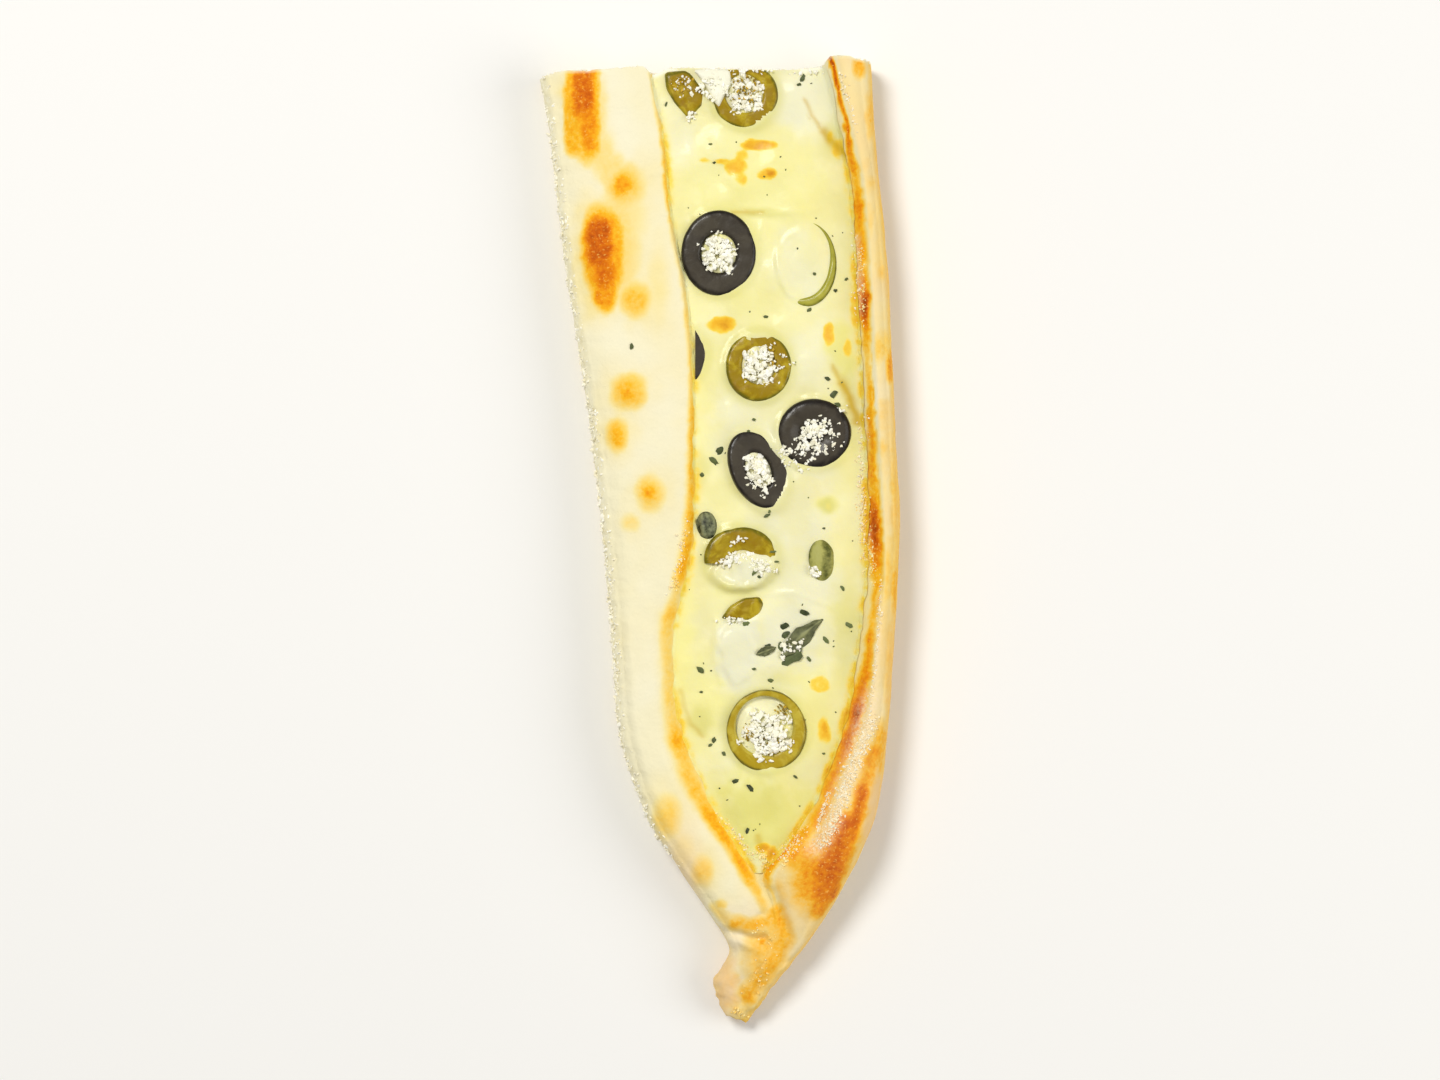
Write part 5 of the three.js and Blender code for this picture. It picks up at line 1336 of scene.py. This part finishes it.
# Torn crumb along the long outer edge and the cut end
EDGE_GRAINS, TEETH, END_GRAINS = 1100, 210, 380
y, angle = rng.uniform(-78, 111, EDGE_GRAINS), rng.uniform(-0.6, 1.35, EDGE_GRAINS)
size = 0.12 + 0.32 * rng.uniform(0, 1, EDGE_GRAINS) ** 2
torn = list(zip(*on_left_side(y, angle), size, rng.uniform(1, 1.8, EDGE_GRAINS)))
y, angle = np.linspace(-74, 110.6, TEETH) + rng.uniform(-0.25, 0.25, TEETH), rng.uniform(0.1, 0.85, TEETH)
torn += zip(*on_left_side(y, angle), rng.uniform(0.3, 0.62, TEETH), rng.uniform(1, 1.7, TEETH))
x = rng.uniform(-42.5, 36, END_GRAINS)
z = surface_at(x, np.full(END_GRAINS, 112)) - 0.5 - rng.uniform(0, 1, END_GRAINS) ** 2 * 3
y = cut_line(x) + rng.uniform(-0.5, 0, END_GRAINS)
torn += zip(x, y, z, rng.uniform(0.12, 0.3, END_GRAINS), rng.uniform(1, 1.6, END_GRAINS))
settle(make_grains("torn_crumb", torn, 19, 0.35), None,
       grain_material("torn_crumb", (242, 234, 204), (252, 249, 234), 0.7))

# Herb flecks: x, y, length, width, turn; small specks are strewn between them
FLECKS = [
    (19.7, 110.4, 2.2, 1, 60), (18.9, 108.9, 1, 0.7, 10), (-2.3, 94.6, 1, 0.5, 0),
    (-1.4, 90.2, 0.8, 0.5, 20), (-12.9, 104.2, 1.2, 0.5, 70), (10.9, 53.4, 1.1, 0.8, 0),
    (25.7, 38.6, 1.4, 0.9, -30), (0.1, 21.4, 2.6, 1.8, 60), (-1.5, 19, 2.6, 1.5, -50),
    (-4.3, 15.6, 1.2, 1.1, 30), (11.2, 5.8, 1.7, 0.8, 30), (11.8, 6.8, 1, 0.6, 70),
    (20.1, -17.4, 2.6, 1.3, -14), (15.3, -20.6, 2.2, 1.4, 20), (25.2, -23.9, 1.9, 1, -50),
    (30.8, -20.3, 1.9, 1.1, -30), (29.3, -11.5, 1.6, 0.8, -60), (-4.7, -31, 2, 1.2, -40),
    (8.1, -30.8, 1, 0.6, 0), (12.1, -33.6, 1.4, 0.9, 0), (-1.5, -47.8, 1.5, 1, 70),
    (-2.3, -49, 1.1, 0.7, 20), (0.9, -51, 1.2, 0.8, -60), (3.7, -57.6, 1.7, 1.1, 30),
    (7.2, -59.2, 2.3, 1, -50), (18, -56.6, 1.2, 0.6, -40), (6.5, -69.4, 1.5, 0.9, 70),
    (-21.1, 46.2, 1.6, 0.9, 85), (8.1, 28.8, 0.9, 0.8, 0), (6.8, 26, 0.8, 0.6, 0),
    (-4.5, -36.3, 0.9, 0.6, 0), (21.2, -28.4, 1.6, 0.7, -50), (8.3, -7.6, 2.4, 0.9, 50),
    (9.4, -8.8, 1.2, 0.6, -20), (27.1, 34.8, 2.4, 1.4, 50), (28.2, 32.4, 1.6, 1, -20),
    (12.6, -2.8, 1.5, 0.6, 10), (13.4, -5.2, 1.6, 0.5, 0), (11.4, -25.2, 1.4, 0.8, 10),
    (24.8, 2.8, 0.7, 0.5, 0), (17, -27.9, 6.2, 3.6, 22), (14.6, -25.4, 2.4, 1.4, 80),
    (15.6, -22.6, 2.6, 1.3, 40), (22.6, -20.4, 1.6, 0.9, 30), (6.2, -20, 1.7, 1.1, 10),
    (24.8, -51, 0.8, 0.5, 0), (21.3, 55, 1.4, 0.8, 30), (22.6, 63.6, 0.9, 0.7, 0),
    (25.8, 61.4, 1.2, 0.9, 60), (27.6, 59.6, 1, 0.8, 0), (30.2, 62.4, 1, 0.7, 40),
]
SPECKS = 60
rng = np.random.default_rng(7)
flakes = [(x, y, surface_at(x, y) + 0.18, *form) for x, y, *form in FLECKS]
y = rng.uniform(-70, 110, SPECKS)
left, right = flap_edge(y) + 4, rim_edge(y) - 4
x = left + (right - left) * rng.uniform(0, 1, SPECKS)
flakes += zip(x, y, surface_at(x, y) + 0.04, rng.uniform(0.3, 0.6, SPECKS), rng.uniform(0.25, 0.4, SPECKS),
              rng.uniform(0, 180, SPECKS))
settle(make_flakes("herb_flecks", flakes, 12), None,
       herb_material("fleck", (44, 52, 30), (104, 114, 66)))
smear = [
    (-6.4, 112.3), (-2.4, 112.7), (2.4, 112.4), (2.9, 109.1), (1.2, 106.4), (-0.2, 103.2), (-1.8, 104.9),
    (-3.8, 109.1),
]
settle(outlined("cheese_smear", smear, filling_at(-1, 108) + 1.5, 2.2, 1.1, 1, seed=55, relief=0.3),
       None, grain_material("cheese_smear", (240, 238, 214), (250, 249, 234), 0.4))

# Stage, camera and light
scene = bpy.context.scene
mesh = bpy.data.meshes.new("floor")
mesh.from_pydata([(-3, -3, 0), (3, -3, 0), (3, 3, 0), (-3, 3, 0)], [], [(0, 1, 2, 3)])
floor_look = Shader("pale_floor")
floor_look.colour = srgb(242, 241, 238)
mesh.materials.append(floor_look.finish(0.9))
floor = bpy.data.objects.new("floor", mesh)
scene.collection.objects.link(floor)

camera = bpy.data.objects.new("camera", bpy.data.cameras.new("camera"))
scene.collection.objects.link(camera)
camera.data.sensor_width = 36
camera.data.lens = 120
camera.location = (0, 0, 1.16)
scene.camera = camera
for name, place, size, power, colour in (
        ("key", (-0.5, 0.58, 1.3), 0.5, 13.8, (1, 0.985, 0.95)),
        ("fill", (0.95, -0.1, 0.75), 0.9, 5.6, (1, 0.99, 0.97))):
    light = bpy.data.lights.new(name, "AREA")
    light.shape = "DISK"
    light.size = size
    light.energy = power
    light.color = colour
    lamp = bpy.data.objects.new(name, light)
    lamp.location = place
    lamp.rotation_euler = (-Vector(place)).to_track_quat("-Z", "Y").to_euler()
    scene.collection.objects.link(lamp)
scene.world = bpy.data.worlds.new("studio")
scene.world.use_nodes = True
background = scene.world.node_tree.nodes["Background"]
background.inputs["Color"].default_value = (1, 0.995, 0.985, 1)
background.inputs["Strength"].default_value = 0.36
scene.view_settings.view_transform = "Standard"
